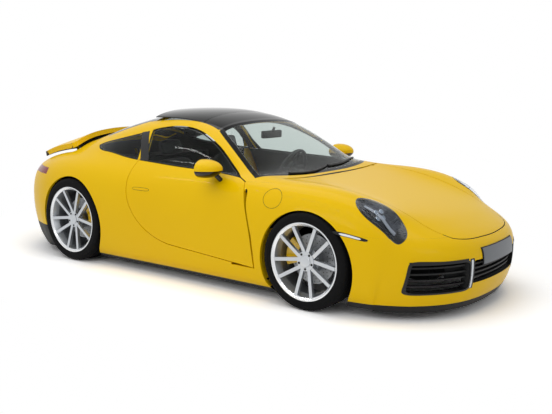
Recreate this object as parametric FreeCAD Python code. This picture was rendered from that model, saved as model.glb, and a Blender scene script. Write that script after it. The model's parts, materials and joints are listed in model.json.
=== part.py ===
"""Two-door coupe car with its engine behind the rear axle, in millimetres.

+X points to the nose, +Y to the left side, +Z up. The tyres stand on z = 0.
The painted outside is one smooth surface, draped over the car from sill to sill.
Every outer panel is a piece of that surface with its own thickness, cut out by
the outline of its shut lines. Inner pieces carry the panels edge to edge.
"""
import FreeCAD
import Part
import math
import os
from FreeCAD import Vector

os.makedirs("parts", exist_ok=True)

# Driving dimensions of the car
WHEELBASE = 2450.0
FRONT_AXLE_X = 1240.0
REAR_AXLE_X = FRONT_AXLE_X - WHEELBASE
SKIRT_Z = 60.0            # lower border of the draped surface
FLOOR_Z = 112.0           # underside of the floor pan

# Clearances
SHUT_GAP = 5.5            # round everything that moves
SEAM = 0.3                # between fixed neighbours
PIN_FIT = 0.3             # radial play at a pin or shaft

# Wall thicknesses
WALL = 25.0               # fenders, bumpers, body shell
LID_WALL = 22.0           # lids, measured straight down
DOOR_WALL = 82.0          # doors below the window sill
GLASS = 6.0
GLASS_DROP = 7.0          # glass seen from above, measured straight down
FLOOR_WALL = 24.0

# Front wheels and tyres
FRONT_TYRE_R = 340.0
FRONT_TYRE_W = 245.0
FRONT_RIM_R = 271.0
FRONT_WHEEL_Y = 788.0
# Rear wheels and tyres
REAR_TYRE_R = 358.0
REAR_TYRE_W = 300.0
REAR_RIM_R = 284.0
REAR_WHEEL_Y = 766.0
TYRE_SIDES = 64
SPOKE_PAIRS = 5
DISC_R = 175.0
DISC_W = 34.0
HUB_R = 36.0              # spindle that carries disc and wheel
KINGPIN_Y = 700.0
KINGPIN_R = 11.0

# Door opening
SILL_TOP = 222.0
FRONT_POST_X = 770.0

# Brakes and knuckles
RIM_INSET = 8.0
FRONT_SEAT = 52.5         # wheel centre to the face of its hub
REAR_SEAT = 80.0
HUB_BOSS_R = 74.0
HUB_BOSS_T = 34.0
SPOKE_W = 25.0
SPOKE_SPREAD = 11.5       # degrees that each spoke leans from its pair's middle
SPOKE_OFFSET = 15.0
HAT_R = 90.0
DISC_OUT = 64.0           # disc's outer face behind the hub face
CALIPER_SPAN = 58.0
CALIPER_TILT = 12.0
UPRIGHT_IN = 141.0        # upright's middle behind the hub face
UPRIGHT_HALF = 158.0
SHAFT_R = 19.0
HALFSHAFT_IN_Y = 200.0
ARM_T = 24.0

# Engine and cabin
ENGINE_X0 = -1960.0
ENGINE_X1 = -1330.0
GEARBOX_X1 = -1090.0
STEER_X = 226.0
STEER_Y = 370.0
STEER_Z = 792.0
STEER_TILT = 24.0
STEER_R = 172.0
SEAT_Y = 365.0
SEAT_W = 480.0
INNER_MIRROR_X = 280.0
INNER_MIRROR_Z = 1112.0
LID_HINGE_Y = 560.0
LID_BRACKET_X = 858.0
COWL_TOP_Z = 790.0
REAR_HINGE_X = -1266.0
REAR_HINGE_Z = 1093.5
REAR_HINGE_Y = 120.0
REAR_STRIP_X = -1233.0    # middle of the strip between rear window and rear lid

# Hinge lugs of the door
LUG_SWEEP = 94.0
LUG_REACH = 160.0
LUG_ANGLE = 60.0
LUG_HALF = 14.0

# Door mirrors
MIRROR_X = 372.0
MIRROR_Y = 916.0
MIRROR_Z = 914.0
MIRROR_LENGTH = 132.0
MIRROR_WIDTH = 116.0
MIRROR_HEIGHT = 68.0
MIRROR_BACK = -30.0
MIRROR_TURN = -14.0

# Underbody
RAIL_Z0 = 250.0
TUB_X0 = 880.0
TUB_X1 = 1960.0
TUB_Z0 = 230.0
TUB_Z1 = 545.0
TIP_Y = 330.0
TIP_Z = 205.0
TIP_R = 45.0

# Wheel arches: the lip in the skin and the wider well behind it
FRONT_LIP_R = 378.0
FRONT_LIP_DROP = 28.0     # lip centre below the hub
REAR_LIP_R = 388.0
REAR_LIP_DROP = 12.0
WELL_GAP = 52.0           # well radius over tyre radius
WELL_WALL = 8.0
WELL_IN_Y = 470.0         # inner end of the front wheel wells
TUB_Y = WELL_IN_Y - WELL_WALL - SEAM
REAR_WELL_IN_Y = 560.0

# Door
DOOR_HINGE_X = 700.0
DOOR_HINGE_Y = 850.0
DOOR_PIN_R = 8.0
DOOR_PIN_Z0 = 372.0
DOOR_PIN_Z1 = 545.0
DOOR_PIN_FIT = 1.0
DOOR_LUG_H = 14.0

# Lids and spoiler
LID_HINGE_X = 905.0
LID_HINGE_Z = 842.0
LID_PIN_R = 5.0
LID_EYE_WALL = 3.2
LID_EYE_HALF = 8.0
LID_EAR_T = 6.0
LID_EAR_FIT = 3.0
LID_EAR_TOP = 4.0         # ear's flat top over its pin
REAR_LID_WALL = 16.0
REAR_LID_FRONT = -1254.0
REAR_LID_BACK = -1406.0
REAR_SWING_FRONT = 14.0    # room ahead of the rear lid, whose front edge swings forward
REAR_SWING_BACK = 20.0     # room behind it, where its corners swing back before they clear
REAR_LID_Y = 440.0
REAR_LID_FLARE = 25.0      # its back edge is wider by this on each side
SPOILER_FRONT = -1450.0
SPOILER_BACK = -2050.0
SPOILER_Y = 640.0
SPOILER_WALL = 46.0
SPOILER_LIFT = 75.0
SPOILER_LEAN = 0.25       # rearward travel for each unit of lift
STRUT_R = 14.0


def section(x, *yz):
    """One cross section: its station and its control points (y, z) from skirt to roof."""
    return [Vector(x, yz[i], yz[i + 1]) for i in range(0, len(yz), 2)]


# Lines plan: cross sections from behind the headlamps to ahead of the tail
SECTIONS = [
    section(1750, 760, 60, 832, 110, 858, 200, 870, 320, 874, 430, 870, 520, 852, 606,
            808, 676, 746, 718, 675, 733, 603, 727, 528, 712, 434, 702, 240, 698, 0, 696),
    section(1500, 790, 60, 862, 100, 886, 190, 898, 320, 906, 455, 907, 570, 888, 682,
            838, 766, 768, 810, 690, 822, 618, 808, 543, 782, 448, 762, 245, 751, 0, 748),
    section(1240, 800, 60, 872, 100, 892, 190, 903, 320, 912, 460, 915, 590, 896, 712,
            842, 800, 772, 841, 700, 852, 632, 843, 558, 822, 460, 806, 250, 795, 0, 792),
    section(1020, 795, 60, 868, 100, 888, 188, 895, 320, 903, 460, 905, 590, 886, 716,
            832, 803, 772, 840, 712, 853, 655, 850, 585, 840, 480, 830, 260, 822, 0, 820),
    section(900, 790, 60, 866, 100, 887, 186, 893, 320, 901, 460, 903, 590, 883, 718,
            829, 806, 768, 843, 712, 857, 655, 857, 585, 850, 480, 842, 260, 834, 0, 832),
    section(790, 790, 60, 865, 100, 886, 186, 892, 320, 900, 460, 902, 590, 881, 719,
            828, 810, 768, 848, 716, 864, 666, 866, 602, 866, 495, 866, 262, 858, 0, 856),
    section(640, 788, 60, 862, 100, 885, 185, 890, 320, 898, 460, 900, 590, 880, 720,
            826, 814, 768, 856, 730, 872, 692, 884, 638, 900, 500, 934, 257, 958, 0, 965),
    section(450, 786, 60, 860, 100, 884, 185, 889, 320, 898, 460, 899, 590, 878, 722,
            824, 818, 768, 864, 737, 893, 690, 960, 632, 1014, 495, 1062, 252, 1087, 0, 1096),
    section(250, 784, 60, 860, 100, 884, 185, 889, 320, 898, 460, 899, 590, 877, 723,
            823, 820, 768, 870, 739, 905, 678, 1014, 606, 1104, 474, 1178, 243, 1211, 0, 1220),
    section(0, 782, 60, 860, 100, 884, 185, 889, 320, 899, 460, 900, 590, 877, 724,
            822, 820, 768, 873, 738, 907, 660, 1050, 578, 1180, 450, 1256, 236, 1293, 0, 1300),
    section(-300, 782, 60, 860, 100, 885, 185, 892, 320, 902, 460, 903, 590, 880, 722,
            824, 817, 769, 872, 735, 907, 655, 1052, 570, 1187, 446, 1260, 234, 1298, 0, 1306),
    section(-650, 790, 60, 868, 100, 892, 190, 902, 320, 912, 460, 914, 590, 893, 717,
            840, 812, 777, 872, 726, 912, 645, 1035, 562, 1150, 440, 1222, 232, 1262, 0, 1271),
    section(-950, 800, 60, 876, 110, 902, 200, 914, 330, 924, 460, 927, 585, 907, 704,
            862, 803, 792, 868, 716, 918, 630, 1012, 545, 1098, 425, 1160, 226, 1198, 0, 1208),
    section(-1210, 810, 60, 882, 120, 908, 220, 922, 340, 932, 460, 934, 585, 917, 702,
            872, 802, 800, 866, 710, 910, 618, 968, 526, 1032, 407, 1085, 218, 1120, 0, 1130),
    section(-1600, 790, 60, 856, 120, 885, 220, 900, 340, 908, 460, 908, 580, 890, 692,
            846, 788, 772, 850, 685, 888, 594, 918, 494, 945, 380, 967, 200, 987, 0, 993),
]

# Share of the height and of the end angle at each of the 15 control points, centre line to skirt
HEIGHT_SHARE = [1.0, 1.0, 1.0, .995, .985, .965, .925, .86, .77, .66, .53, .39, .25, .11, 0.0]
ANGLE_SHARE = [0, .17, .33, .45, .55, .635, .71, .775, .83, .875, .915, .945, .97, .987, 1.0]
# Half width, nose and tail reach of the horizontal contours against their height
WIDTH_AT = [(60, 840), (120, 868), (220, 888), (340, 900), (460, 906), (580, 902), (660, 888),
            (720, 868), (770, 838), (810, 800), (850, 760)]
NOSE_AT = [(60, 2183), (120, 2228), (210, 2256), (330, 2266), (430, 2264), (490, 2240),
           (530, 2200), (560, 2140), (600, 2050), (650, 1945)]
TAIL_AT = [(60, -2107), (120, -2157), (200, -2207), (350, -2252), (500, -2269), (620, -2259),
           (700, -2242), (760, -2212), (800, -2157), (840, -2067), (880, -1937)]
# Rows of the nose and tail: height at the centre line, end angle in degrees, lift at the corner
NOSE_ROWS = [(60, 48, 0), (120, 50, 0), (215, 52.5, 0), (330, 55, 0), (430, 57.5, 0),
             (500, 60, 4), (552, 62.5, 10), (598, 65, 22), (640, 68, 40)]
TAIL_ROWS = [(885, 69, -8), (845, 66, -4), (800, 64, 0), (745, 62, 0), (640, 60, 0),
             (500, 58, 0), (350, 56, 0), (215, 54, 0), (120, 52, 0), (60, 50, 0)]
NOSE_CENTRE = 1300.0
TAIL_CENTRE = -1250.0
TAIL_WIDEN = 1.012
ROUNDNESS = 2.5           # exponent of the superellipse contours
CORNER_COLUMN = 5
CORNER_SPREAD = 1.8


def read_off(table, z):
    """Straight-line value between the (height, value) pairs of a table."""
    if z <= table[0][0]:
        return table[0][1]
    for (z0, v0), (z1, v1) in zip(table, table[1:]):
        if z <= z1:
            return v0 + (v1 - v0) * (z - z0) / (z1 - z0)
    return table[-1][1]


def end_row(centre_z, angle, reach_at, centre_x, widen, lift):
    """One row of the nose or tail, on superellipse contours, skirt first."""
    row = []
    for j in range(len(HEIGHT_SHARE)):
        z = SKIRT_Z + (centre_z - SKIRT_Z) * HEIGHT_SHARE[j]
        z += lift * math.exp(-((j - CORNER_COLUMN) / CORNER_SPREAD) ** 2)
        phi = math.radians(angle) * ANGLE_SHARE[j]
        power = 2.0 / ROUNDNESS
        x = centre_x + (read_off(reach_at, z) - centre_x) * math.cos(phi) ** power
        y = read_off(WIDTH_AT, z) * widen * math.sin(phi) ** power
        row.append(Vector(x, y, SKIRT_Z if j == len(HEIGHT_SHARE) - 1 else z))
    return row[::-1]


def control_net():
    """All rows from nose to tail, each mirrored to the right side."""
    rows = [end_row(z, a, NOSE_AT, NOSE_CENTRE, 1.0, lift) for z, a, lift in NOSE_ROWS]
    rows += SECTIONS
    rows += [end_row(z, a, TAIL_AT, TAIL_CENTRE, TAIL_WIDEN, lift) for z, a, lift in TAIL_ROWS]
    return [row + [Vector(p.x, -p.y, p.z) for p in row[-2::-1]] for row in rows]


def offset_net(net, depth):
    """The net moved inward by a depth; border points only move level."""
    last_i, last_j = len(net) - 1, len(net[0]) - 1
    up = Vector(0, 0, 1)
    out = []
    for i, row in enumerate(net):
        out_row = []
        for j, p in enumerate(row):
            along = net[min(i + 1, last_i)][j] - net[max(i - 1, 0)][j]
            across = row[min(j + 1, last_j)] - row[max(j - 1, 0)]
            if j in (0, last_j):
                inward = along.cross(up) * (1 if j else -1)
            elif i in (0, last_i):
                inward = across.cross(up) * (1 if i else -1)
            else:
                out_row.append(p + across.cross(along).normalize() * depth)
                continue
            if (j == 0 or j == last_j) and (i == 0 or i == last_i):
                side = net[min(i + 1, last_i)][j] if i == 0 else net[max(i - 1, 0)][j]
                end = row[1] if j == 0 else row[-2]
                inward = (side - end).cross(up)
            inward.normalize()
            if inward.dot(Vector(0, 0, p.z) + Vector(clamp_x(p.x), 0, 0) - p) < 0:
                inward = inward * -1
            out_row.append(p + inward * depth)
        out.append(out_row)
    return out


def clamp_x(x):
    """Nearest station of the car's middle body, towards which the skin faces inward."""
    return max(-1500.0, min(1200.0, x))


def surface_face(net):
    """Cubic B-spline face over a net of control points."""
    def knots(count):
        return [i / (count - 3.0) for i in range(count - 2)], [4] + [1] * (count - 4) + [4]
    ku, mu = knots(len(net))
    kv, mv = knots(len(net[0]))
    surface = Part.BSplineSurface()
    surface.buildFromPolesMultsKnots(net, mu, mv, ku, kv, False, False, 3, 3)
    return surface.toShape()


def solid_from(faces):
    solid = Part.Solid(Part.Shell(faces))
    if solid.Volume < 0:
        solid = solid.reversed()
    return solid


def closed_below(net):
    """Solid under a draped surface, down to its level border."""
    face = surface_face(net)
    base = Part.Face(Part.Wire(Part.__sortEdges__([e.copy() for e in face.Edges])))
    return solid_from([face, base])


def box(x0, x1, y0, y1, z0, z1):
    return Part.makeBox(x1 - x0, y1 - y0, z1 - z0, Vector(x0, y0, z0))


def mirrored(shape):
    return shape.mirror(Vector(0, 0, 0), Vector(0, 1, 0))


def cylinder(r, a, b):
    """Cylinder of radius r from point a to point b."""
    return Part.makeCylinder(r, (b - a).Length, a, b - a)


def rounded(points):
    """Closed wire in XY through (x, y, corner radius) points, corners as tangent arcs."""
    count = len(points)
    starts, ends, mids = [], [], []
    for i in range(count):
        p = Vector(points[i][0], points[i][1], 0)
        a = Vector(points[i - 1][0], points[i - 1][1], 0) - p
        b = Vector(points[(i + 1) % count][0], points[(i + 1) % count][1], 0) - p
        room = 0.49 * min(a.Length, b.Length)
        a.normalize()
        b.normalize()
        half = a.getAngle(b) / 2.0
        cut = min(points[i][2] / math.tan(half), room) if half > 1e-3 else 0.0
        starts.append(p + a * cut)
        ends.append(p + b * cut)
        radius = cut * math.tan(half)
        middle = a + b
        if middle.Length > 1e-9:
            middle.normalize()
            middle = p + middle * (radius / math.sin(half) - radius)
        else:
            middle = p
        mids.append(middle)
    edges = []
    for i in range(count):
        if (starts[i] - ends[i]).Length > 1e-3:
            edges.append(Part.Arc(starts[i], mids[i], ends[i]).toShape())
        nxt = starts[(i + 1) % count]
        if (ends[i] - nxt).Length > 1e-3:
            edges.append(Part.LineSegment(ends[i], nxt).toShape())
    return Part.Wire(edges)


def grown(points, gap):
    """The outline moved outward by a gap, corner radii with it."""
    wire_area = sum(p[0] * q[1] - q[0] * p[1] for p, q in zip(points, points[1:] + points[:1]))
    sign = 1.0 if wire_area > 0 else -1.0
    out = []
    for i, p in enumerate(points):
        here = Vector(p[0], p[1], 0)
        before = Vector(points[i - 1][0], points[i - 1][1], 0)
        after = Vector(points[(i + 1) % len(points)][0], points[(i + 1) % len(points)][1], 0)
        n0 = (here - before).cross(Vector(0, 0, sign)).normalize()
        n1 = (after - here).cross(Vector(0, 0, sign)).normalize()
        shift = (n0 + n1) * (gap / (1.0 + n0.dot(n1)))
        out.append((p[0] + shift.x, p[1] + shift.y, max(p[2] + gap, 0.0)))
    return out


def side_prism(points, y0=300.0, y1=1100.0):
    """Outline given as (x, z, radius), carried across the car from y0 to y1."""
    face = Part.Face(rounded(points))
    face.rotate(Vector(0, 0, 0), Vector(1, 0, 0), 90)
    face.translate(Vector(0, y0, 0))
    return face.extrude(Vector(0, y1 - y0, 0))


def top_prism(points, z0=300.0, z1=1500.0):
    """Outline given as (x, y, radius), carried straight up."""
    face = Part.Face(rounded(points))
    face.translate(Vector(0, 0, z0))
    return face.extrude(Vector(0, 0, z1 - z0))


def biggest(shape):
    """The largest solid of a result that should be one piece."""
    return max(shape.Solids, key=lambda s: s.Volume)


def save(name, shape):
    if len(shape.Solids) == 1:
        shape = shape.Solids[0]
    print("%-22s solids %d volume %.1f l valid %s" % (
        name, len(shape.Solids), shape.Volume / 1e6, shape.isValid()))
    shape.exportStep("parts/" + name + ".step")


# The draped surface as a solid, and the same moved inward by the wall thickness
NET = control_net()
skin = closed_below(NET)
skin_inner = closed_below(offset_net(NET, WALL))


def middle_core(depths):
    """Solid inside the middle body: each section moved inward by its own depths."""
    first, last = 1, len(SECTIONS) - 1
    net = []
    for row in NET[len(NOSE_ROWS) + first:len(NOSE_ROWS) + last]:
        new_row = []
        count = len(row)
        for j, p in enumerate(row):
            t = row[min(j + 1, count - 1)] - row[max(j - 1, 0)]
            n = Vector(0, t.z, -t.y)
            n.normalize()
            if j in (0, count - 1):
                n = Vector(0, 1 if p.y > 0 else -1, 0)
            if n.dot(Vector(0, p.y, p.z - 560.0)) < 0:
                n = n * -1
            depth = depths[min(j, count - 1 - j)]
            new_row.append(p - n * depth)
        net.append(new_row)
    face = surface_face(net)
    caps = []
    for row in (net[0], net[-1]):
        curve = Part.BSplineCurve()
        count = len(row)
        curve.buildFromPolesMultsKnots(row, [4] + [1] * (count - 4) + [4],
                                       [i / (count - 3.0) for i in range(count - 2)], False, 3)
        line = Part.LineSegment(row[-1], row[0]).toShape()
        caps.append(Part.Face(Part.Wire([curve.toShape(), line])))
    first_row, last_row = net[0], net[-1]
    borders = [e for e in face.Edges if abs(e.CenterOfMass.y) > 300]
    closing = [Part.LineSegment(first_row[-1], first_row[0]).toShape(),
               Part.LineSegment(last_row[0], last_row[-1]).toShape()]
    base = Part.Face(Part.Wire(Part.__sortEdges__(borders + closing)))
    return solid_from([face, base] + caps)


cabin = middle_core([DOOR_WALL] * 7 + [70.0, 52.0, 30.0] + [26.0] * 5)
glass_core = middle_core([GLASS] * 15)


def wire_of(line):
    """Closed XY wire of spans; a span of two points is straight, a longer one a smooth curve."""
    edges = []
    for points in line:
        vectors = [Vector(p[0], p[1], 0) for p in points]
        if len(vectors) == 2:
            edges.append(Part.LineSegment(vectors[0], vectors[1]).toShape())
        else:
            curve = Part.BSplineCurve()
            curve.interpolate(vectors)
            edges.append(curve.toShape())
    return Part.Wire(edges)


def span_normals(points, sign):
    """Outward unit normals at the points of one span."""
    vectors = [Vector(p[0], p[1], 0) for p in points]
    last = len(vectors) - 1
    out = []
    for k in range(last + 1):
        if last == 1:
            t = vectors[1] - vectors[0]
        elif k == 0:
            t = (vectors[1] - vectors[0]).normalize() * 2 - (vectors[2] - vectors[0]).normalize()
        elif k == last:
            t = (vectors[k] - vectors[k - 1]).normalize() * 2 - (vectors[k] - vectors[k - 2]).normalize()
        else:
            t = (vectors[k] - vectors[k - 1]).normalize() + (vectors[k + 1] - vectors[k]).normalize()
        out.append(t.cross(Vector(0, 0, sign)).normalize())
    return out


def moved_out(line, gap):
    """The outline moved outward by a gap, or inward where the gap is negative."""
    flat = [p for points in line for p in points[:-1]]
    area = sum(p[0] * q[1] - q[0] * p[1] for p, q in zip(flat, flat[1:] + flat[:1]))
    normals = [span_normals(points, 1.0 if area > 0 else -1.0) for points in line]
    out = []
    for s, points in enumerate(line):
        span = []
        for k, p in enumerate(points):
            n = normals[s][k]
            other = normals[s - 1][-1] if k == 0 else n
            if k == len(points) - 1:
                other = normals[(s + 1) % len(line)][0]
            shift = (n + other) * (gap / max(1.0 + n.dot(other), 0.08))
            span.append((p[0] + shift.x, p[1] + shift.y))
        out.append(span)
    return out


def side_cut(line, y0=300.0, y1=1100.0):
    """Outline of (x, z) spans carried across the car from y0 to y1."""
    face = Part.Face(wire_of(line))
    face.rotate(Vector(0, 0, 0), Vector(1, 0, 0), 90)
    face.translate(Vector(0, y0, 0))
    return face.extrude(Vector(0, y1 - y0, 0))


def top_cut(line, z0=300.0, z1=1500.0):
    """Outline of (x, y) spans carried straight up."""
    face = Part.Face(wire_of(line))
    face.translate(Vector(0, 0, z0))
    return face.extrude(Vector(0, 0, z1 - z0))


def lowered(shape, drop):
    out = shape.copy()
    out.translate(Vector(0, 0, -drop))
    return out


# Shut lines seen from the side, (x, z)
DOOR_LINE = [
    [(798, 232), (775, 400), (757, 520), (722, 650), (684, 760), (654, 828)],
    [(654, 828), (590, 850)],
    [(590, 850), (300, 873), (0, 882), (-383, 899), (-517, 905)],
    [(-517, 905), (-521, 757), (-480, 583), (-383, 446), (-184, 326), (-40, 292)],
    [(-40, 292), (798, 232)]]
BELT = [(590, 850), (300, 873), (0, 882), (-383, 899), (-517, 905)]
GLASS_TOP = [(590, 850 + SEAM), (450, 934), (326, 1017), (178, 1094), (43, 1146), (-144, 1178), (-383, 1166),
             (-547, 1134), (-762, 1088), (-956, 1046), (-1100, 1012), (-1160, 990)]
GLASS_SILL = [(-1160, 990), (-1142, 979), (-944, 946), (-707, 920)]
SIDE_WINDOWS = [GLASS_TOP, GLASS_SILL + [(x, z + SEAM) for x, z in reversed(BELT)]]
PILLAR_FRONT = [(-420, 800), (-545, 1250)]     # rear edge of the door glass
PILLAR_BACK = [(-505, 800), (-630, 1250)]      # front edge of the quarter glass
# Shut lines seen from above, (x, y)
WINDSCREEN_LINE = [
    [(712, 757), (608, 698), (459, 643), (307, 588), (172, 529)],
    [(172, 529), (190, 300), (196, 0), (190, -300), (172, -529)],
    [(172, -529), (307, -588), (459, -643), (608, -698), (712, -757)],
    [(712, -757), (790, -640), (838, -430), (850, 0), (838, 430), (790, 640), (712, 757)]]
ROOF_PANEL_LINE = [
    [(160, 522), (20, 500), (-200, 484), (-400, 470), (-600, 452)],
    [(-600, 452), (-622, 0), (-600, -452)],
    [(-600, -452), (-400, -470), (-200, -484), (20, -500), (160, -522)],
    [(160, -522), (178, -300), (184, 0), (178, 300), (160, 522)]]
SUNROOF_FRONT = -20.0
SUNROOF_AXIS_Z = 1308.0
SUNROOF_GAP = 2.0
SUNROOF_SIDE_GAP = 1.2
SUNROOF_LIFT = 3.6                             # degrees open, hinged at its front edge
REAR_WINDOW_LINE = [
    [(-672, 430), (-672, 0), (-672, -430)],
    [(-672, -430), (-950, -478), (-1195, -490)],
    [(-1195, -490), (-1222, -250), (-1228, 0), (-1222, 250), (-1195, 490)],
    [(-1195, 490), (-950, 478), (-672, 430)]]
LID_BACK_X = 912.0
LID_CORNER_Y = 655.0
FRONT_LID_LINE = [
    [(2104, 440), (2150, 350), (2188, 150), (2196, 0), (2188, -150), (2150, -350), (2104, -440)],
    [(2104, -440), (2011, -496), (1800, -528), (1500, -562), (1200, -604), (LID_BACK_X, -LID_CORNER_Y)],
    [(LID_BACK_X, -LID_CORNER_Y), (LID_BACK_X, LID_CORNER_Y)],
    [(LID_BACK_X, LID_CORNER_Y), (1200, 604), (1500, 562), (1800, 528), (2011, 496), (2104, 440)]]


def rear_lid_line(front, back, side):
    """Outline of the rear lid, moved out by its own gap at the front, back and sides."""
    wide = REAR_LID_Y + REAR_LID_FLARE
    return [(REAR_LID_FRONT + front, -REAR_LID_Y - side, 30), (REAR_LID_FRONT + front, REAR_LID_Y + side, 30),
            (REAR_LID_BACK - back, wide + side, 30), (REAR_LID_BACK - back, -wide - side, 30)]


SPOILER_LINE = [(SPOILER_FRONT, -SPOILER_Y, 60), (SPOILER_FRONT, SPOILER_Y, 60),
                (SPOILER_BACK, SPOILER_Y - 50, 140), (SPOILER_BACK, -SPOILER_Y + 50, 140)]
LAMP_LINE = [[(1560, 735), (1590, 690), (1655, 640), (1745, 622), (1830, 632), (1890, 668), (1908, 715),
              (1880, 765), (1800, 800), (1700, 822), (1610, 810), (1568, 778), (1560, 735)]]
# Upper edge of the front bumper, seen from the side
BUMPER_TOP = [(1400, 574), (2400, 536)]
# Rear edge of the fender against the body shell, seen from the side, and all that lies ahead of it
BODY_FRONT_X = 890.0
SILL_SEAM_Z = 227.0
FENDER_ZONE = [(BODY_FRONT_X, 1300, 0), (BODY_FRONT_X, 838, 0), (652, 832, 0), (680, 752, 0),
               (716, 645, 0), (750, 518, 0), (768, 400, 0), (790, SILL_SEAM_Z, 0),
               (FRONT_AXLE_X, SILL_SEAM_Z, 0), (FRONT_AXLE_X, 0, 0), (2600, 0, 0), (2600, 1300, 0)]
TAIL_LAMP_Z0 = 722.0
TAIL_LAMP_Z1 = 776.0
TAIL_LAMP_X = -1600.0
REAR_BUMPER_X = -1585.0
REAR_ARCH_X = -1440.0      # below the arch's middle the bumper reaches forward to the wheel
# Openings of the front bumper seen from ahead, (y, z, corner radius)
SIDE_INTAKE = [(385, 205, 18), (748, 203, 18), (738, 408, 24), (392, 392, 18)]
CENTRE_INTAKE = [(-350, 238, 14), (350, 238, 14), (350, 392, 14), (-350, 392, 14)]
SLATS = 5
SLAT_H = 11.0
GRILLE_DEPTH = 34.0
FRAME_LAP = 14.0

front_lip = Part.makeCylinder(FRONT_LIP_R, 700, Vector(FRONT_AXLE_X, 400, FRONT_TYRE_R - FRONT_LIP_DROP),
                              Vector(0, 1, 0))
rear_lip = Part.makeCylinder(REAR_LIP_R, 700, Vector(REAR_AXLE_X, 400, REAR_TYRE_R - REAR_LIP_DROP),
                             Vector(0, 1, 0))


def door_relief():
    """Space that the door's front edge sweeps about its hinge axis."""
    profile = [(0, 227), (114, 227), (112, 260), (97, 460), (77.5, 560), (65.5, 610), (52.5, 655), (37.5, 705),
               (22, 755), (8, 790), (0, 790)]
    points = [Vector(r, 0, z) for r, z in profile]
    face = Part.Face(Part.makePolygon(points + points[:1]))
    relief = face.revolve(Vector(0, 0, 0), Vector(0, 0, 1), 360)
    relief.translate(Vector(DOOR_HINGE_X, DOOR_HINGE_Y, 0))
    return relief


def front_prism(points, x0=1500.0, x1=2400.0):
    """Outline given as (y, z, radius), carried forward from x0 to x1."""
    face = Part.Face(rounded(points))
    face.rotate(Vector(0, 0, 0), Vector(1, 1, 1), 120)
    face.translate(Vector(x0, 0, 0))
    return face.extrude(Vector(x1 - x0, 0, 0))


def pair(shape):
    return Part.makeCompound([shape, mirrored(shape)])


def top_panel(line, wall):
    """Panel of the skin inside a prism, its wall measured straight down."""
    return biggest(skin.common(line).cut(lowered(skin, wall)))


# Front end: bumper, fenders, headlamps, grilles
shell = skin.cut(skin_inner)
relief = door_relief()
door_cut = side_cut(moved_out(DOOR_LINE, SHUT_GAP), 560)
lid_cut = top_cut(moved_out(FRONT_LID_LINE, SHUT_GAP), 400)
front_half = shell.common(box(500, 2400, 0, 1000, 0, 1200))
above_bumper = side_prism([(600, 1200, 0), (600, BUMPER_TOP[0][1], 0), (BUMPER_TOP[0][0], BUMPER_TOP[0][1], 0),
                           (BUMPER_TOP[1][0], BUMPER_TOP[1][1], 0), (2400, 1200, 0)], 420)
intakes = front_prism(SIDE_INTAKE)
centre_intake = front_prism(CENTRE_INTAKE)
bumper = front_half.common(box(FRONT_AXLE_X, 2400, 0, 1000, 0, 1200)).cut(above_bumper).cut(lid_cut)
bumper = biggest(bumper.cut(front_lip).cut(intakes).cut(centre_intake))
bumper = bumper.fuse(mirrored(bumper)).removeSplitter()
save("front_bumper", bumper)


def grille(points, prism):
    """Slats behind one opening of the bumper, in a frame that laps behind its edge."""
    z0, z1 = min(p[1] for p in points), max(p[1] for p in points)
    pitch = (z1 - z0) / SLATS
    bars = prism.copy()
    for i in range(SLATS):
        z = z0 + pitch * i + SLAT_H / 2
        bars = bars.cut(box(1400, 2500, -900, 900, z, z + pitch - SLAT_H))
    frame = front_prism(grown(points, FRAME_LAP)).cut(prism)
    behind = skin_inner.copy()
    behind.translate(Vector(-GRILLE_DEPTH, 0, 0))
    return biggest(skin_inner.common(bars.fuse(frame)).cut(behind))


side_grille = grille(SIDE_INTAKE, intakes)
save("front_grilles", Part.makeCompound([side_grille, mirrored(side_grille), grille(CENTRE_INTAKE, centre_intake)]))
fender = front_half.common(side_prism(grown(FENDER_ZONE, -SEAM), 420 + SEAM)).common(
    side_prism([(600, 1300, 0), (600, 90, 0), (FRONT_AXLE_X + 100, 90, 0), (FRONT_AXLE_X + 100, 574 + SEAM, 0),
                (BUMPER_TOP[0][0], BUMPER_TOP[0][1] + SEAM, 0), (BUMPER_TOP[1][0], BUMPER_TOP[1][1] + SEAM, 0),
                (2400, 1300, 0)]))
fender = fender.cut(lid_cut).cut(front_lip).cut(relief).cut(door_cut)
fender = biggest(fender.cut(box(600, LID_HINGE_X + 12, 0, LID_CORNER_Y + SHUT_GAP + 1, 600, 1300)))
headlamp = fender.common(top_cut(moved_out(LAMP_LINE, -SEAM), 400))
fender = biggest(fender.cut(top_cut(LAMP_LINE, 400)))
save("front_fender_l", fender)
save("front_fender_r", mirrored(fender))
save("headlamps", pair(headlamp))

# Front lid, windscreen, roof panel, sunroof, rear window, rear lid, spoiler
lid = top_panel(top_cut(FRONT_LID_LINE, 400), LID_WALL)
windscreen = top_panel(top_cut(moved_out(WINDSCREEN_LINE, -SEAM), 700), GLASS_DROP)
save("windscreen", windscreen)
roof_inset = top_cut(moved_out(ROOF_PANEL_LINE, -SEAM), 900)
roof_panel = top_panel(roof_inset.common(box(SUNROOF_FRONT, 400, -700, 700, 900, 1500)), GLASS_DROP)
save("roof_panel", roof_panel)
sunroof_inset = top_cut(moved_out(ROOF_PANEL_LINE, -SUNROOF_SIDE_GAP), 900)
sunroof = top_panel(sunroof_inset.common(box(-900, SUNROOF_FRONT - SUNROOF_GAP, -700, 700, 900, 1500)), GLASS_DROP)
sunroof.rotate(Vector(SUNROOF_FRONT, 0, SUNROOF_AXIS_Z), Vector(0, 1, 0), SUNROOF_LIFT)
save("sunroof", sunroof)
rear_window = top_panel(top_cut(moved_out(REAR_WINDOW_LINE, -SEAM), 700), GLASS_DROP)
save("rear_window", rear_window)

# Structure inside the skin: sills, door posts, cowl beam and the tray under the spoiler
SLIDE = Vector(-SPOILER_LEAN, 0, 1).normalize()
SPOILER_MID_Z = 940.0


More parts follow.
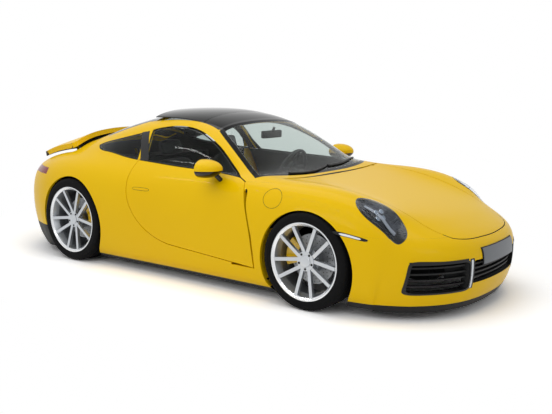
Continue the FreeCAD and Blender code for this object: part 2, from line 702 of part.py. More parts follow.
def spoiler_prism(gap):
    """The spoiler's outline, true to size at the deck's middle height, carried along the slide."""
    face = Part.Face(rounded(grown(SPOILER_LINE, gap)))
    face.translate(Vector(SPOILER_LEAN * (SPOILER_MID_Z - 500), 0, 500))
    return face.extrude(SLIDE * (900 / SLIDE.z))


def wheel_space(axle_x, tyre_r, inner_y):
    """Room round a wheel, from the inner wall of its well outward."""
    return Part.makeCylinder(tyre_r + WELL_GAP, 1000, Vector(axle_x, inner_y, tyre_r), Vector(0, 1, 0))


STRUT_Y = 360.0
STRUT_X = -1760.0
STRUT_TOP_Z = 880.0
STRUT_LENGTH = 190.0
TRAY_WALL = 12.0
pocket_floor = lowered(skin, SPOILER_WALL + SHUT_GAP)
tray_under = lowered(skin, SPOILER_WALL + SHUT_GAP + TRAY_WALL)
tray = spoiler_prism(SHUT_GAP + TRAY_WALL).cut(tray_under)
pocket = spoiler_prism(SHUT_GAP).cut(pocket_floor)
sill = box(-840, BODY_FRONT_X, 690, 900, SKIRT_Z, SILL_TOP)
front_post = box(FRONT_POST_X, BODY_FRONT_X, 600, 900, SKIRT_Z, 900)
rear_post = box(-640, -540, 640, 900, SKIRT_Z, 1150)
cowl_beam = box(FRONT_POST_X, BODY_FRONT_X - 12, -900, 900, COWL_TOP_Z - 90, COWL_TOP_Z)
front_space = wheel_space(FRONT_AXLE_X, FRONT_TYRE_R, WELL_IN_Y)
rear_space = wheel_space(REAR_AXLE_X, REAR_TYRE_R, REAR_WELL_IN_Y)
front_post = front_post.cut(front_space)
front_frame = cowl_beam.fuse([front_post, mirrored(front_post)])
sill = sill.cut([front_space, rear_space])
frame = sill.fuse([mirrored(sill), front_frame, rear_post, mirrored(rear_post), tray])
hollow = skin_inner.cut(frame)
skin_deep = closed_below(offset_net(NET, WALL + SEAM))
front_zone = side_prism(FENDER_ZONE, -1100, 1100)
body = skin.cut([hollow, front_zone]).fuse(front_frame.common(skin_deep).common(front_zone))


def beside_pillar(pillar, end_x):
    """Outline of all that lies between a slanted pillar edge and a far station."""
    (low_x, low_z), (high_x, high_z) = pillar
    return [(low_x, 700, 0), (low_x, low_z, 0), (high_x, high_z, 0), (end_x, high_z, 0), (end_x, 700, 0)]


side_glass_zone = side_prism(beside_pillar(PILLAR_FRONT, 1000))
side_glass_gap = side_prism(grown(beside_pillar(PILLAR_FRONT, 1000), SHUT_GAP))
quarter_zone = side_prism(beside_pillar(PILLAR_BACK, -1500))
door_glass_cut = side_cut(moved_out(SIDE_WINDOWS, SHUT_GAP + 1.5), 400).common(side_glass_gap)
quarter_cut = side_cut(SIDE_WINDOWS, 400).common(quarter_zone)
tools = [top_cut(WINDSCREEN_LINE, 700), top_cut(ROOF_PANEL_LINE, 900), top_cut(REAR_WINDOW_LINE, 700)]
for shape in (door_cut, relief, door_glass_cut, quarter_cut, front_lip, rear_lip):
    tools += [shape, mirrored(shape)]
tools.append(box(-2400, REAR_BUMPER_X, -1000, 1000, 0, TAIL_LAMP_Z1 + SEAM))
tools.append(box(-2400, REAR_ARCH_X, -1000, 1000, 0, REAR_TYRE_R - REAR_LIP_DROP))
tools.append(pocket)
tools.append(top_prism(rear_lid_line(REAR_SWING_FRONT, REAR_SWING_BACK, SHUT_GAP), 700, 1200))
body = body.cut(tools)

# Tail: bumper, lamp band, rear lid, spoiler with its two struts, exhaust
tail_space = box(-2400, REAR_BUMPER_X - SEAM, -1000, 1000, 0, TAIL_LAMP_Z1).fuse(
    box(-2400, REAR_ARCH_X - SEAM, -1000, 1000, 0, REAR_TYRE_R - REAR_LIP_DROP - SEAM))
tail = shell.common(tail_space)
lamp_band = tail.common(box(-2400, TAIL_LAMP_X, -1000, 1000, TAIL_LAMP_Z0, TAIL_LAMP_Z1))
save("tail_lamp", biggest(lamp_band.cut(pocket)))
rear_bumper = tail.cut(box(-2400, TAIL_LAMP_X + SEAM, -1000, 1000, TAIL_LAMP_Z0 - SEAM, TAIL_LAMP_Z1 + 10))
tip_axis = [(side * TIP_Y, TIP_Z) for side in (1, -1)]
for y, z in tip_axis:
    rear_bumper = rear_bumper.cut(cylinder(TIP_R + SHUT_GAP, Vector(-2400, y, z), Vector(-2000, y, z)))
rear_bumper = biggest(rear_bumper.cut([rear_lip, mirrored(rear_lip), pocket]))
save("rear_bumper", rear_bumper)
silencer = box(-2075, -1975, -430, 430, RAIL_Z0 - SEAM - 90, RAIL_Z0 - SEAM)
silencer = silencer.makeFillet(24, [e for e in silencer.Edges if abs(e.CenterOfMass.y) < 1])
exhaust = silencer
for y, z in tip_axis:
    tip = cylinder(TIP_R, Vector(-2010, y, z), Vector(-2262, y, z))
    bore = cylinder(TIP_R - 4, Vector(-2130, y, z), Vector(-2300, y, z))
    exhaust = exhaust.fuse(tip).cut(bore)
save("exhaust", exhaust)
rear_lid = top_panel(top_prism(rear_lid_line(0, 0, 0), 700, 1200), REAR_LID_WALL)
spoiler = top_panel(spoiler_prism(0), SPOILER_WALL)
struts = []
for y in (STRUT_Y, -STRUT_Y):
    top = Vector(STRUT_X, y, STRUT_TOP_Z)
    struts.append(cylinder(STRUT_R, top - SLIDE * STRUT_LENGTH, top))
spoiler = spoiler.fuse(struts)
spoiler.translate(SLIDE * SPOILER_LIFT)
save("spoiler", spoiler)
quarter_line = moved_out(SIDE_WINDOWS, -SEAM)
quarter_inner = side_prism(beside_pillar([(x - SEAM, z) for x, z in PILLAR_BACK], -1500))
quarter = skin.common(side_cut(quarter_line, 400).common(quarter_inner)).cut(glass_core)
quarter = quarter.common(box(-1160, 0, 0, 900, 700, 1300))
save("quarter_glass", pair(biggest(quarter)))

# Doors: panel, glass, mirror; each door turns on two lugs that stand on the front post
door = biggest(skin.common(side_cut(DOOR_LINE, 560)).cut(cabin))
pin_line = (Vector(DOOR_HINGE_X, DOOR_HINGE_Y, DOOR_PIN_Z0), Vector(DOOR_HINGE_X, DOOR_HINGE_Y, DOOR_PIN_Z1))
lug_levels = [DOOR_PIN_Z0, DOOR_PIN_Z1 - DOOR_LUG_H]
door = door.cut(cylinder(DOOR_PIN_R + DOOR_PIN_FIT, pin_line[0] - Vector(0, 0, DOOR_PIN_FIT),
                         pin_line[1] + Vector(0, 0, DOOR_PIN_FIT)))
hinges = cylinder(DOOR_PIN_R, pin_line[0], pin_line[1])
for z in lug_levels:
    slot = Part.makeCylinder(LUG_SWEEP, DOOR_LUG_H + 2 * SHUT_GAP, Vector(DOOR_HINGE_X, DOOR_HINGE_Y, z - SHUT_GAP))
    door = door.cut(slot.common(box(0, 1200, 0, DOOR_HINGE_Y + LUG_HALF + 13, 0, 1000)))
    arm = box(0, LUG_REACH, -LUG_HALF, LUG_HALF, z, z + DOOR_LUG_H).fuse(
        Part.makeCylinder(LUG_HALF, DOOR_LUG_H, Vector(0, 0, z)))
    arm.rotate(Vector(0, 0, 0), Vector(0, 0, 1), -LUG_ANGLE)
    arm.translate(Vector(DOOR_HINGE_X, DOOR_HINGE_Y, 0))
    hinges = hinges.fuse(arm)
door = biggest(door)
door_glass = skin.common(side_cut(SIDE_WINDOWS, 400)).common(side_glass_zone).cut(glass_core)
door_glass = biggest(door_glass)
cap_wires = []
for x in (MIRROR_BACK, 0.25 * MIRROR_LENGTH, 0.6 * MIRROR_LENGTH, 0.84 * MIRROR_LENGTH, 0.96 * MIRROR_LENGTH):
    share = math.sqrt(1.0 - (x / MIRROR_LENGTH) ** 2)
    ellipse = Part.Ellipse(Vector(x, 0, 0), MIRROR_WIDTH * share, MIRROR_HEIGHT * share).toShape()
    ellipse.rotate(Vector(x, 0, 0), Vector(1, 1, 1), 120)
    cap_wires.append(Part.Wire([ellipse]))
cap = Part.makeLoft(cap_wires, True)
cap.rotate(Vector(0, 0, 0), Vector(0, 0, 1), MIRROR_TURN)
cap.translate(Vector(MIRROR_X, MIRROR_Y, MIRROR_Z))
foot = cylinder(18, Vector(440, 780, 796), Vector(MIRROR_X + 30, MIRROR_Y - 40, MIRROR_Z - 20))
mirror = biggest(cap.fuse(foot).cut(skin))
save("door_l", door)
save("door_r", mirrored(door))
save("door_glass_l", door_glass)
save("door_glass_r", mirrored(door_glass))
save("mirror_l", mirror)
save("mirror_r", mirrored(mirror))

# Floor pan: floor, tunnel, bulkheads, luggage tub, wheel houses, rails and bumper beams
def wheel_house(axle_x, tyre_r, inner_y, space, cut_z):
    """Wall round a wheel's room, open below and outward."""
    outer_r = tyre_r + WELL_GAP + WELL_WALL
    ring = Part.makeCylinder(outer_r, 1000 - inner_y, Vector(axle_x, inner_y - WELL_WALL, tyre_r), Vector(0, 1, 0))
    return ring.cut(space).cut(box(axle_x - 600, axle_x + 600, 0, 1100, -200, cut_z))


front_house = wheel_house(FRONT_AXLE_X, FRONT_TYRE_R, WELL_IN_Y, front_space, 150)
rear_house = wheel_house(REAR_AXLE_X, REAR_TYRE_R, REAR_WELL_IN_Y, rear_space, 170)
arm_gap = box(FRONT_AXLE_X - 130, FRONT_AXLE_X + 130, 0, 900, 0, 470)
rear_arm_gap = box(REAR_AXLE_X - 130, REAR_AXLE_X + 130, 0, 900, 0, 470)
front_house = front_house.cut(arm_gap)
rear_house = rear_house.cut(rear_arm_gap)
tub = box(TUB_X0, TUB_X1, -TUB_Y, TUB_Y, TUB_Z0, TUB_Z1).cut(
    box(TUB_X0 + 12, TUB_X1 - 12, -TUB_Y + 12, TUB_Y - 12, TUB_Z0 + 12, TUB_Z1 + 10))
pan = box(-1000, FRONT_POST_X, -688, 688, FLOOR_Z, FLOOR_Z + FLOOR_WALL)
pieces = [rear_house, mirrored(rear_house)]
pieces.append(box(-1000, 700, -110, 110, FLOOR_Z, 300))                                # tunnel
pieces.append(box(FRONT_POST_X, FRONT_POST_X + 14, -688, 688, FLOOR_Z, 700 - SEAM))    # front bulkhead
pieces.append(box(FRONT_POST_X, TUB_X0 - SEAM, -330, 330, TUB_Z0, TUB_Z0 + 70))
pieces.append(box(-1012, -998, -636, 636, FLOOR_Z, 870))                               # rear bulkhead
pieces.append(box(-1226, -998, -560, 560, 856, 870))                                   # parcel shelf
for side in (1, -1):
    pieces.append(box(-2170, -998, min(side * 380, side * 432), max(side * 380, side * 432), RAIL_Z0, RAIL_Z0 + 80))
    pieces.append(box(-1150, -998, min(side * 380, side * 600), max(side * 380, side * 600), RAIL_Z0, RAIL_Z0 + 80))
grille_back = skin_inner.copy()
grille_back.translate(Vector(-GRILLE_DEPTH - SEAM, 0, 0))
pieces.append(box(-2215, -2150, -560, 560, RAIL_Z0 + 20, RAIL_Z0 + 130))
pan = pan.fuse(pieces).common(skin_inner).cut([front_space, mirrored(front_space), rear_space, mirrored(rear_space)])
pan = pan.cut([relief, mirrored(relief), body])
tub = tub.fuse([box(TUB_X1 - 6, 2150, 330, 400, 280, 350), box(TUB_X1 - 6, 2150, -400, -330, 280, 350),
                box(2090, 2192, -520, 520, 268, 362)]).common(grille_back)
save("luggage_tub", tub)
front_house = biggest(front_house.common(skin_inner).cut([front_space, relief, body]))
save("front_wheel_houses", pair(front_house))
pan = biggest(pan)
save("floor_pan", pan)


# Wheels, brakes and knuckles; each is made for the left side about its own axle
def revolved(points, centre, turn=360):
    """Solid of revolution about the axle: points are (distance along +Y, radius)."""
    corners = [Vector(0, y, r) for y, r in points]
    face = Part.Face(Part.makePolygon(corners + corners[:1]))
    solid = face.revolve(Vector(0, 0, 0), Vector(0, 1, 0), turn)
    solid.translate(centre)
    return solid.reversed() if solid.Volume < 0 else solid


def tyre(centre, tyre_r, tyre_w, rim_r):
    """Many-sided ring with bulged walls over a round bore; the flat sides keep its mesh light."""
    half = tyre_w / 2
    low = rim_r + SEAM
    side = [(half - RIM_INSET, low + 4), (half, low + 26), (half - 36, tyre_r)]
    angles = [2 * math.pi * k / TYRE_SIDES for k in range(TYRE_SIDES + 1)]
    rings = [Part.makePolygon([Vector(r * math.sin(a), y, -r * math.cos(a)) for a in angles])
             for y, r in side + [(-y, r) for y, r in reversed(side)]]
    solid = Part.makeLoft(rings, True, True).cut(cylinder(low, Vector(0, -half, 0), Vector(0, half, 0)))
    solid.translate(centre)
    return solid


def rim(centre, tyre_w, rim_r, face_y):
    """Barrel, hub and ten spokes in five V pairs; face_y is where the hub bears on the disc."""
    half = tyre_w / 2 - RIM_INSET
    barrel = revolved([(half, rim_r), (half - 14, rim_r - 14), (half - 60, rim_r - 30), (-half + 40, rim_r - 30),
                       (-half, rim_r), (-half, rim_r - 10), (-half + 44, rim_r - 38), (half - 62, rim_r - 38),
                       (half - 9, rim_r - 20), (half, rim_r - 9)], centre)
    seat = face_y - centre.y + SEAM
    hub = revolved([(seat, HUB_R + PIN_FIT), (seat, HUB_BOSS_R), (seat + HUB_BOSS_T, HUB_BOSS_R - 6),
                    (seat + HUB_BOSS_T, HUB_R + PIN_FIT)], centre)
    reach = rim_r - 24
    side = [(HUB_BOSS_R - 18, seat + 2), (HUB_BOSS_R - 18, seat + HUB_BOSS_T - 4), (reach, half - 6),
            (reach, half - 34), (reach * 0.6, half - 44)]
    profile = Part.Face(Part.makePolygon([Vector(a, 0, b) for a, b in side + side[:1]]))
    spokes = []
    for k in range(SPOKE_PAIRS):
        for lean in (-1, 1):
            spoke = profile.extrude(Vector(0, SPOKE_W, 0))
            spoke.translate(Vector(0, -SPOKE_W / 2, 0))
            spoke.rotate(Vector(0, 0, 0), Vector(0, 0, 1), lean * SPOKE_SPREAD)
            spoke.translate(Vector(0, lean * SPOKE_OFFSET, 0))
            spoke.rotate(Vector(0, 0, 0), Vector(1, 0, 0), -90)
            spoke.rotate(Vector(0, 0, 0), Vector(0, 1, 0), 90 + k * 360.0 / SPOKE_PAIRS)
            spoke.translate(centre)
            spokes.append(spoke)
    return biggest(barrel.fuse([hub] + spokes))


def disc(centre, face_y, shaft_y=None):
    """Brake disc with its hat; the driven ones carry the hub nose and half shaft too."""
    f = face_y - centre.y
    points = [(f - 10, HUB_R + PIN_FIT), (f, HUB_R + PIN_FIT), (f, HAT_R), (f - DISC_OUT, HAT_R), (f - DISC_OUT, DISC_R),
              (f - DISC_OUT - DISC_W, DISC_R), (f - DISC_OUT - DISC_W, HAT_R - 9), (f - 10, HAT_R - 9)]
    solid = revolved(points, centre)
    if shaft_y is not None:
        nose = cylinder(HUB_R, Vector(centre.x, face_y - 60, centre.z), Vector(centre.x, face_y + HUB_BOSS_T, centre.z))
        web = cylinder(HUB_R + 4, Vector(centre.x, face_y - 30, centre.z), Vector(centre.x, face_y, centre.z))
        shaft = cylinder(SHAFT_R, Vector(centre.x, shaft_y, centre.z), Vector(centre.x, face_y - 20, centre.z))
        solid = solid.fuse([nose, web, shaft])
    return solid


def caliper(centre, face_y, angle):
    """Clamp over the disc, centred at an angle behind the top of the wheel."""
    f = face_y - centre.y
    inner, outer = f - DISC_OUT - DISC_W, f - DISC_OUT
    section_points = [(inner - 30, 118), (inner - 30, 207), (outer + 30, 207), (outer + 30, 118),
                      (outer + 6, 118), (outer + 6, DISC_R + 6), (inner - 6, DISC_R + 6), (inner - 6, 118)]
    solid = revolved(section_points, Vector(0, 0, 0), CALIPER_SPAN)
    solid.rotate(Vector(0, 0, 0), Vector(0, 1, 0), angle - CALIPER_SPAN / 2)
    solid.translate(centre)
    return solid


def knuckle(centre, face_y, steered, caliper_side):
    """Upright with its spindle; steered ones end in two pins on the kingpin line."""
    y = face_y - UPRIGHT_IN
    low, high = centre.z - UPRIGHT_HALF, centre.z + UPRIGHT_HALF
    upright = box(centre.x - 24, centre.x + 24, y - 14, y + 14, low, high)
    boss = cylinder(56, Vector(centre.x, y - 18, centre.z), Vector(centre.x, y + 26, centre.z))
    wing = box(min(centre.x, centre.x + caliper_side * 190), max(centre.x, centre.x + caliper_side * 190),
               y - 14, face_y - DISC_OUT - DISC_W - 30 - SEAM, centre.z - 20, centre.z + 50)
    solid = upright.fuse([boss, wing])
    if steered:
        solid = solid.fuse([cylinder(HUB_R, Vector(centre.x, y, centre.z), Vector(centre.x, face_y + HUB_BOSS_T - 4, centre.z)),
                            cylinder(KINGPIN_R, Vector(centre.x, KINGPIN_Y, low - 34), Vector(centre.x, KINGPIN_Y, low)),
                            cylinder(KINGPIN_R, Vector(centre.x, KINGPIN_Y, high), Vector(centre.x, KINGPIN_Y, high + 34))])
    else:
        solid = solid.cut(cylinder(SHAFT_R + PIN_FIT, Vector(centre.x, y - 60, centre.z), Vector(centre.x, y + 60, centre.z)))
    return solid


def eye_arm(centre, z, inner_y, width):
    """Wishbone from the frame to an eye round the kingpin."""
    eye = cylinder(KINGPIN_R + 15, Vector(centre.x, KINGPIN_Y, z), Vector(centre.x, KINGPIN_Y, z + ARM_T))
    plan = [Vector(centre.x - 16, KINGPIN_Y, z), Vector(centre.x + 16, KINGPIN_Y, z),
            Vector(centre.x + width, inner_y, z), Vector(centre.x + width - 34, inner_y, z),
            Vector(centre.x, KINGPIN_Y - 130, z), Vector(centre.x - width + 34, inner_y, z),
            Vector(centre.x - width, inner_y, z)]
    blade = Part.Face(Part.makePolygon(plan + plan[:1])).extrude(Vector(0, 0, ARM_T))
    hole = cylinder(KINGPIN_R + PIN_FIT, Vector(centre.x, KINGPIN_Y, z - 50), Vector(centre.x, KINGPIN_Y, z + 60))
    return eye.fuse(blade).cut(hole)


front_centre = Vector(FRONT_AXLE_X, FRONT_WHEEL_Y, FRONT_TYRE_R)
rear_centre = Vector(REAR_AXLE_X, REAR_WHEEL_Y, REAR_TYRE_R)
front_face = FRONT_WHEEL_Y + FRONT_SEAT
rear_face = REAR_WHEEL_Y + REAR_SEAT
wheel_set = {
    "f": (front_centre, FRONT_TYRE_R, FRONT_TYRE_W, FRONT_RIM_R, front_face, None),
    "r": (rear_centre, REAR_TYRE_R, REAR_TYRE_W, REAR_RIM_R, rear_face, HALFSHAFT_IN_Y),
}
for end, (centre, tyre_r, tyre_w, rim_r, face_y, shaft_y) in wheel_set.items():
    parts = {"tyre_": tyre(centre, tyre_r, tyre_w, rim_r), "rim_": rim(centre, tyre_w, rim_r, face_y),
             "disc_": disc(centre, face_y, shaft_y)}
    for name, shape in parts.items():
        save(name + end + "l", shape)
        save(name + end + "r", mirrored(shape))
front_knuckle = knuckle(front_centre, front_face, True, -1)
front_caliper = caliper(front_centre, front_face, 270 + CALIPER_TILT)
rear_knuckle = knuckle(rear_centre, rear_face, False, 1)
rear_caliper = caliper(rear_centre, rear_face, 90 - CALIPER_TILT)
save("knuckle_fl", front_knuckle)
save("knuckle_fr", mirrored(front_knuckle))
save("caliper_fl", front_caliper)
save("caliper_fr", mirrored(front_caliper))
save("rear_knuckles", pair(rear_knuckle))
save("rear_calipers", pair(rear_caliper))

# Front and rear subframes with their arms
low_eye = FRONT_TYRE_R - UPRIGHT_HALF - 4 - ARM_T
high_eye = FRONT_TYRE_R + UPRIGHT_HALF + 4
member = box(FRONT_AXLE_X - 90, FRONT_AXLE_X + 90, -340, 340, low_eye - 6, TUB_Z0 - SEAM)
lower = eye_arm(front_centre, low_eye, 330, 120)
save("front_subframe", member.fuse([lower, mirrored(lower)]))
upper = eye_arm(front_centre, high_eye, WELL_IN_Y, 90)
save("front_upper_arms", pair(upper))
rear_member = box(REAR_AXLE_X - 110, REAR_AXLE_X + 110, -360, 360, 150, 215)
post = box(REAR_AXLE_X - 60, REAR_AXLE_X + 60, 300, 379.7, 150, RAIL_Z0 + 60)
knuckle_y = rear_face - UPRIGHT_IN - 14
rear_low = box(REAR_AXLE_X - 40, REAR_AXLE_X + 40, 340, knuckle_y - SEAM, 160, 200)
rear_frame = rear_member.fuse([post, mirrored(post), rear_low, mirrored(rear_low)])
save("rear_subframe", rear_frame)
engine = box(ENGINE_X0, ENGINE_X1, -300, 300, 190, 480).fuse(
    [box(ENGINE_X0 + 60, ENGINE_X1 - 80, -380 + SEAM, 380 - SEAM, RAIL_Z0, RAIL_Z0 + 80),
     box(ENGINE_X0 + 90, ENGINE_X1 - 120, -210, 210, 480, 600),
     box(ENGINE_X1 - 20, GEARBOX_X1, SHUT_GAP - HALFSHAFT_IN_Y, HALFSHAFT_IN_Y - SHUT_GAP, 250, 460)])
save("engine_block", engine)

# Cabin: dashboard with console, seats, steering wheel, inner mirror
dash = side_prism([(770 - SEAM, 560, 20), (770 - SEAM, 690, 8), (740, 800, 20), (600, 796, 60), (500, 752, 26),
                   (486, 690, 30), (560, 620, 40), (610, 540, 40)], -735, 735)
dash = dash.fuse(box(620, 770 - SEAM, -90, 90, 340, 600)).fuse(
    side_prism([(760, 300, 10), (760, 560, 10), (560, 560, 60), (380, 420, 80), (-260, 400, 30), (-260, 300, 6)], -100, 100))
dash = dash.common(cabin)
wheel_centre = Vector(STEER_X, STEER_Y, STEER_Z)
steer_axis = Vector(math.cos(math.radians(STEER_TILT)), 0, -math.sin(math.radians(STEER_TILT)))
column = cylinder(40, wheel_centre + steer_axis * 90, wheel_centre + steer_axis * 420)
dash = dash.fuse(column.common(cabin))
dash = dash.cut(cylinder(18 + PIN_FIT, wheel_centre + steer_axis * 60, wheel_centre + steer_axis * 260))
save("dashboard", biggest(dash))


def steering_wheel():
    """Ring, hub and three spokes, made level and then tilted onto the column."""
    ring = Part.makeTorus(STEER_R, 15)
    hub = Part.makeCylinder(56, 40, Vector(0, 0, -22))
    shaft = Part.makeCylinder(18, 230, Vector(0, 0, 10))
    arms = []
    for angle in (0, 180, 90):
        arm = box(30, STEER_R, -17, 17, -8, 8)
        arm.rotate(Vector(0, 0, 0), Vector(0, 0, 1), angle)
        arms.append(arm)
    shape = ring.fuse([hub, shaft] + arms)
    shape.rotate(Vector(0, 0, 0), Vector(0, 0, 1), 90)
    shape.rotate(Vector(0, 0, 0), Vector(0, 1, 0), 90 + STEER_TILT)
    shape.translate(wheel_centre)
    return shape


save("steering_wheel", steering_wheel())
floor_top = FLOOR_Z + FLOOR_WALL + SEAM
seat = side_prism([(120, floor_top, 0), (135, 330, 30), (110, 400, 40), (-240, 372, 60), (-330, 430, 60), (-452, 900, 90),
                   (-492, 1050, 30), (-560, 1075, 26), (-590, 1040, 30), (-572, 900, 90), (-470, 340, 90),
                   (-430, floor_top, 0)], SEAT_Y - SEAT_W / 2, SEAT_Y + SEAT_W / 2)
shoulders = front_prism([(SEAT_Y - SEAT_W / 2, 0, 0), (SEAT_Y + SEAT_W / 2, 0, 0), (SEAT_Y + SEAT_W / 2, 700, 60),
                         (SEAT_Y + 165, 900, 60), (SEAT_Y + 130, 945, 20), (SEAT_Y + 118, 1100, 40),
                         (SEAT_Y - 118, 1100, 40), (SEAT_Y - 130, 945, 20), (SEAT_Y - 165, 900, 60),
                         (SEAT_Y - SEAT_W / 2, 700, 60)], -800, 400)
seat = seat.common(shoulders)
save("front_seats", pair(seat))
bench = side_prism([(-700, floor_top, 0), (-690, 440, 40), (-740, 486, 30), (-900, 462, 60), (-940, 780, 30), (-998 + SEAM, 800, 20),
                    (-998 + SEAM, floor_top, 0)], 125, 545)
save("rear_seats", pair(bench))
mirror_body = box(-16, 16, -118, 118, -30, 30)
mirror_body = mirror_body.makeFillet(12, [e for e in mirror_body.Edges if abs(e.CenterOfMass.x) < 1])
mirror_body.translate(Vector(INNER_MIRROR_X, 0, INNER_MIRROR_Z))
stem = cylinder(10, Vector(INNER_MIRROR_X, 0, INNER_MIRROR_Z), Vector(INNER_MIRROR_X + 60, 0, INNER_MIRROR_Z + 120))
inner_mirror = mirror_body.fuse(stem).common(lowered(skin, GLASS_DROP + SEAM))
save("inner_mirror", biggest(inner_mirror))

# Lid hinges: an eye on the lid turns on a pin between two ears of the body
LID_EYE_R = LID_PIN_R + LID_EYE_WALL
EAR_OUT = LID_EYE_HALF + LID_EAR_FIT + LID_EAR_T
NOTCH_HALF = EAR_OUT + SHUT_GAP + 3.0


def lid_eye(lid, axis_x, axis_z, y, reach):
    """The lid with a notch for the ears, its eye, and the arm between the two."""
    way = 1 if reach > 0 else -1
    back, ahead = sorted((axis_x - way * 60, axis_x + way * (LID_EYE_R + SHUT_GAP + 3.0)))
    notch = box(back, ahead, y - NOTCH_HALF, y + NOTCH_HALF, axis_z - 80, axis_z + 80)
    near, far = sorted((axis_x, axis_x + reach))
    arm = box(near, far, y - LID_EYE_HALF, y + LID_EYE_HALF, axis_z - LID_EYE_R, axis_z + 60)
    eye = cylinder(LID_EYE_R, Vector(axis_x, y - LID_EYE_HALF, axis_z), Vector(axis_x, y + LID_EYE_HALF, axis_z))
    bore = cylinder(LID_PIN_R + PIN_FIT, Vector(axis_x, y - 20, axis_z), Vector(axis_x, y + 20, axis_z))
    return lid.cut(notch).fuse(arm.common(skin).fuse(eye.common(skin))).cut(bore)


def lid_ears(axis_x, axis_z, y, root_x, low_z):
    """Pin between two round-ended ears, which reach to a root station and height in the body."""
    shape = cylinder(LID_PIN_R, Vector(axis_x, y - EAR_OUT, axis_z), Vector(axis_x, y + EAR_OUT, axis_z))
    near, far = sorted((axis_x, root_x))
    for side in (-1, 1):
        y0, y1 = sorted((y + side * (LID_EYE_HALF + LID_EAR_FIT), y + side * EAR_OUT))
        tip = cylinder(LID_EYE_R, Vector(axis_x, y0, axis_z), Vector(axis_x, y1, axis_z))
        blade = box(near, far, y0, y1, low_z, axis_z + LID_EAR_TOP)
        shape = shape.fuse([tip, blade])
    return shape


lid_pins = []
for y in (-LID_HINGE_Y, LID_HINGE_Y):
    lid = lid_eye(lid, LID_HINGE_X, LID_HINGE_Z, y, 60)
    lid_pins.append(lid_ears(LID_HINGE_X, LID_HINGE_Z, y, LID_BRACKET_X, COWL_TOP_Z - 30))
save("front_lid", biggest(lid))
rear_pins = []
for y in (-REAR_HINGE_Y, REAR_HINGE_Y):
    rear_lid = lid_eye(rear_lid, REAR_HINGE_X, REAR_HINGE_Z, y, -50)
    rear_pins.append(lid_ears(REAR_HINGE_X, REAR_HINGE_Z, y, REAR_STRIP_X, REAR_HINGE_Z - LID_EYE_R))
save("rear_lid", biggest(rear_lid))
strut_foot = [Vector(STRUT_X, y, STRUT_TOP_Z) for y in (STRUT_Y, -STRUT_Y)]
holes = [cylinder(STRUT_R + PIN_FIT, foot - SLIDE * 400, foot + SLIDE * 60) for foot in strut_foot]
body = body.fuse([pin.common(skin) for pin in lid_pins + rear_pins] + [hinges, mirrored(hinges)]).cut(holes)
save("body_shell", biggest(body))
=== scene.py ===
# %% [markdown]
# A yellow two-door coupe is dressed here, piece by piece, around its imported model.
# The model gives every panel its place and outline. This script gives the paint its gloss,
# the glass its tint and the lamps, wheels, grilles and seats their small parts.

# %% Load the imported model
import json
import math

import bmesh
import bpy
import numpy as np
from mathutils import Matrix, Vector
from mathutils.kdtree import KDTree


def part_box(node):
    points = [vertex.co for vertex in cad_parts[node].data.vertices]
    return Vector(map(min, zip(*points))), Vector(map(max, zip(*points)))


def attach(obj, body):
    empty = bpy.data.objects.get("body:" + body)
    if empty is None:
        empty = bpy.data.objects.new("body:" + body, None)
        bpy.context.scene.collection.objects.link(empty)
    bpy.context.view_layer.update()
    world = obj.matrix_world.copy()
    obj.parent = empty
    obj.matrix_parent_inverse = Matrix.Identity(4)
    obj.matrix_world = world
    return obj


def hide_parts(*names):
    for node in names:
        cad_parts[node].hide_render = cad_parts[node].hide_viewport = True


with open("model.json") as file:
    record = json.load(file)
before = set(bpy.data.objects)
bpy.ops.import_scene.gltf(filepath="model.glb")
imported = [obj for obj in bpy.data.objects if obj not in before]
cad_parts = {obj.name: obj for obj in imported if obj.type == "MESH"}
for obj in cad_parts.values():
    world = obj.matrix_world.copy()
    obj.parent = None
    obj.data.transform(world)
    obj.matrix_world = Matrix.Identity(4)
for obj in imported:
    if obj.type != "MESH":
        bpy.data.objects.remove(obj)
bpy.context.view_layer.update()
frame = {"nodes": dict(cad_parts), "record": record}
nodes = frame["nodes"]

# %% [markdown]
# Colours are written as the sRGB hex values that a colour picker shows, and the shaders work
# in linear light. One function turns the first into the second, and one adds a shader node. The
# others spread a colour or a roughness with a noise whose blobs have a real size in millimetres.

# %% Colours and shader nodes


def linear(hex_colour):
    """Linear RGBA of an sRGB hex colour: c / 12.92 where dark, ((c + 0.055) / 1.055) ** 2.4 above."""
    srgb = np.array([int(hex_colour[i:i + 2], 16) for i in (1, 3, 5)]) / 255
    value = np.where(srgb <= 0.04045, srgb / 12.92, ((srgb + 0.055) / 1.055) ** 2.4)
    return (*value.tolist(), 1.0)


def add_node(owner, kind, values=None, links=None, **settings):
    """Adds a node to a material or the world: its settings, its input values and what links into it."""
    made = owner.node_tree.nodes.new(kind)
    for name, value in settings.items():
        setattr(made, name, value)
    for name, value in (values or {}).items():
        made.inputs[name].default_value = value
    for name, source in (links or {}).items():
        owner.node_tree.links.new(source, made.inputs[name])
    return made


def finish_of(name, colour, **values):
    """A new Principled material with a base colour and any other inputs, underscores for spaces."""
    material = bpy.data.materials.new(name)
    material.use_nodes = True
    shader = material.node_tree.nodes["Principled BSDF"]
    shader.inputs["Base Color"].default_value = linear(colour)
    for key, value in values.items():
        shader.inputs[key.replace("_", " ")].default_value = value
    return material


def into_shader(material, output, name):
    """Links an output into one of the material's Principled inputs."""
    shader = material.node_tree.nodes["Principled BSDF"]
    material.node_tree.links.new(output, shader.inputs[name])


def link_bump(material, height, strength, distance):
    """Lets a height output tilt the surface; distance is the height of a full step in metres."""
    bump = add_node(material, "ShaderNodeBump", {"Strength": strength, "Distance": distance},
                    {"Height": height})
    into_shader(material, bump.outputs["Normal"], "Normal")


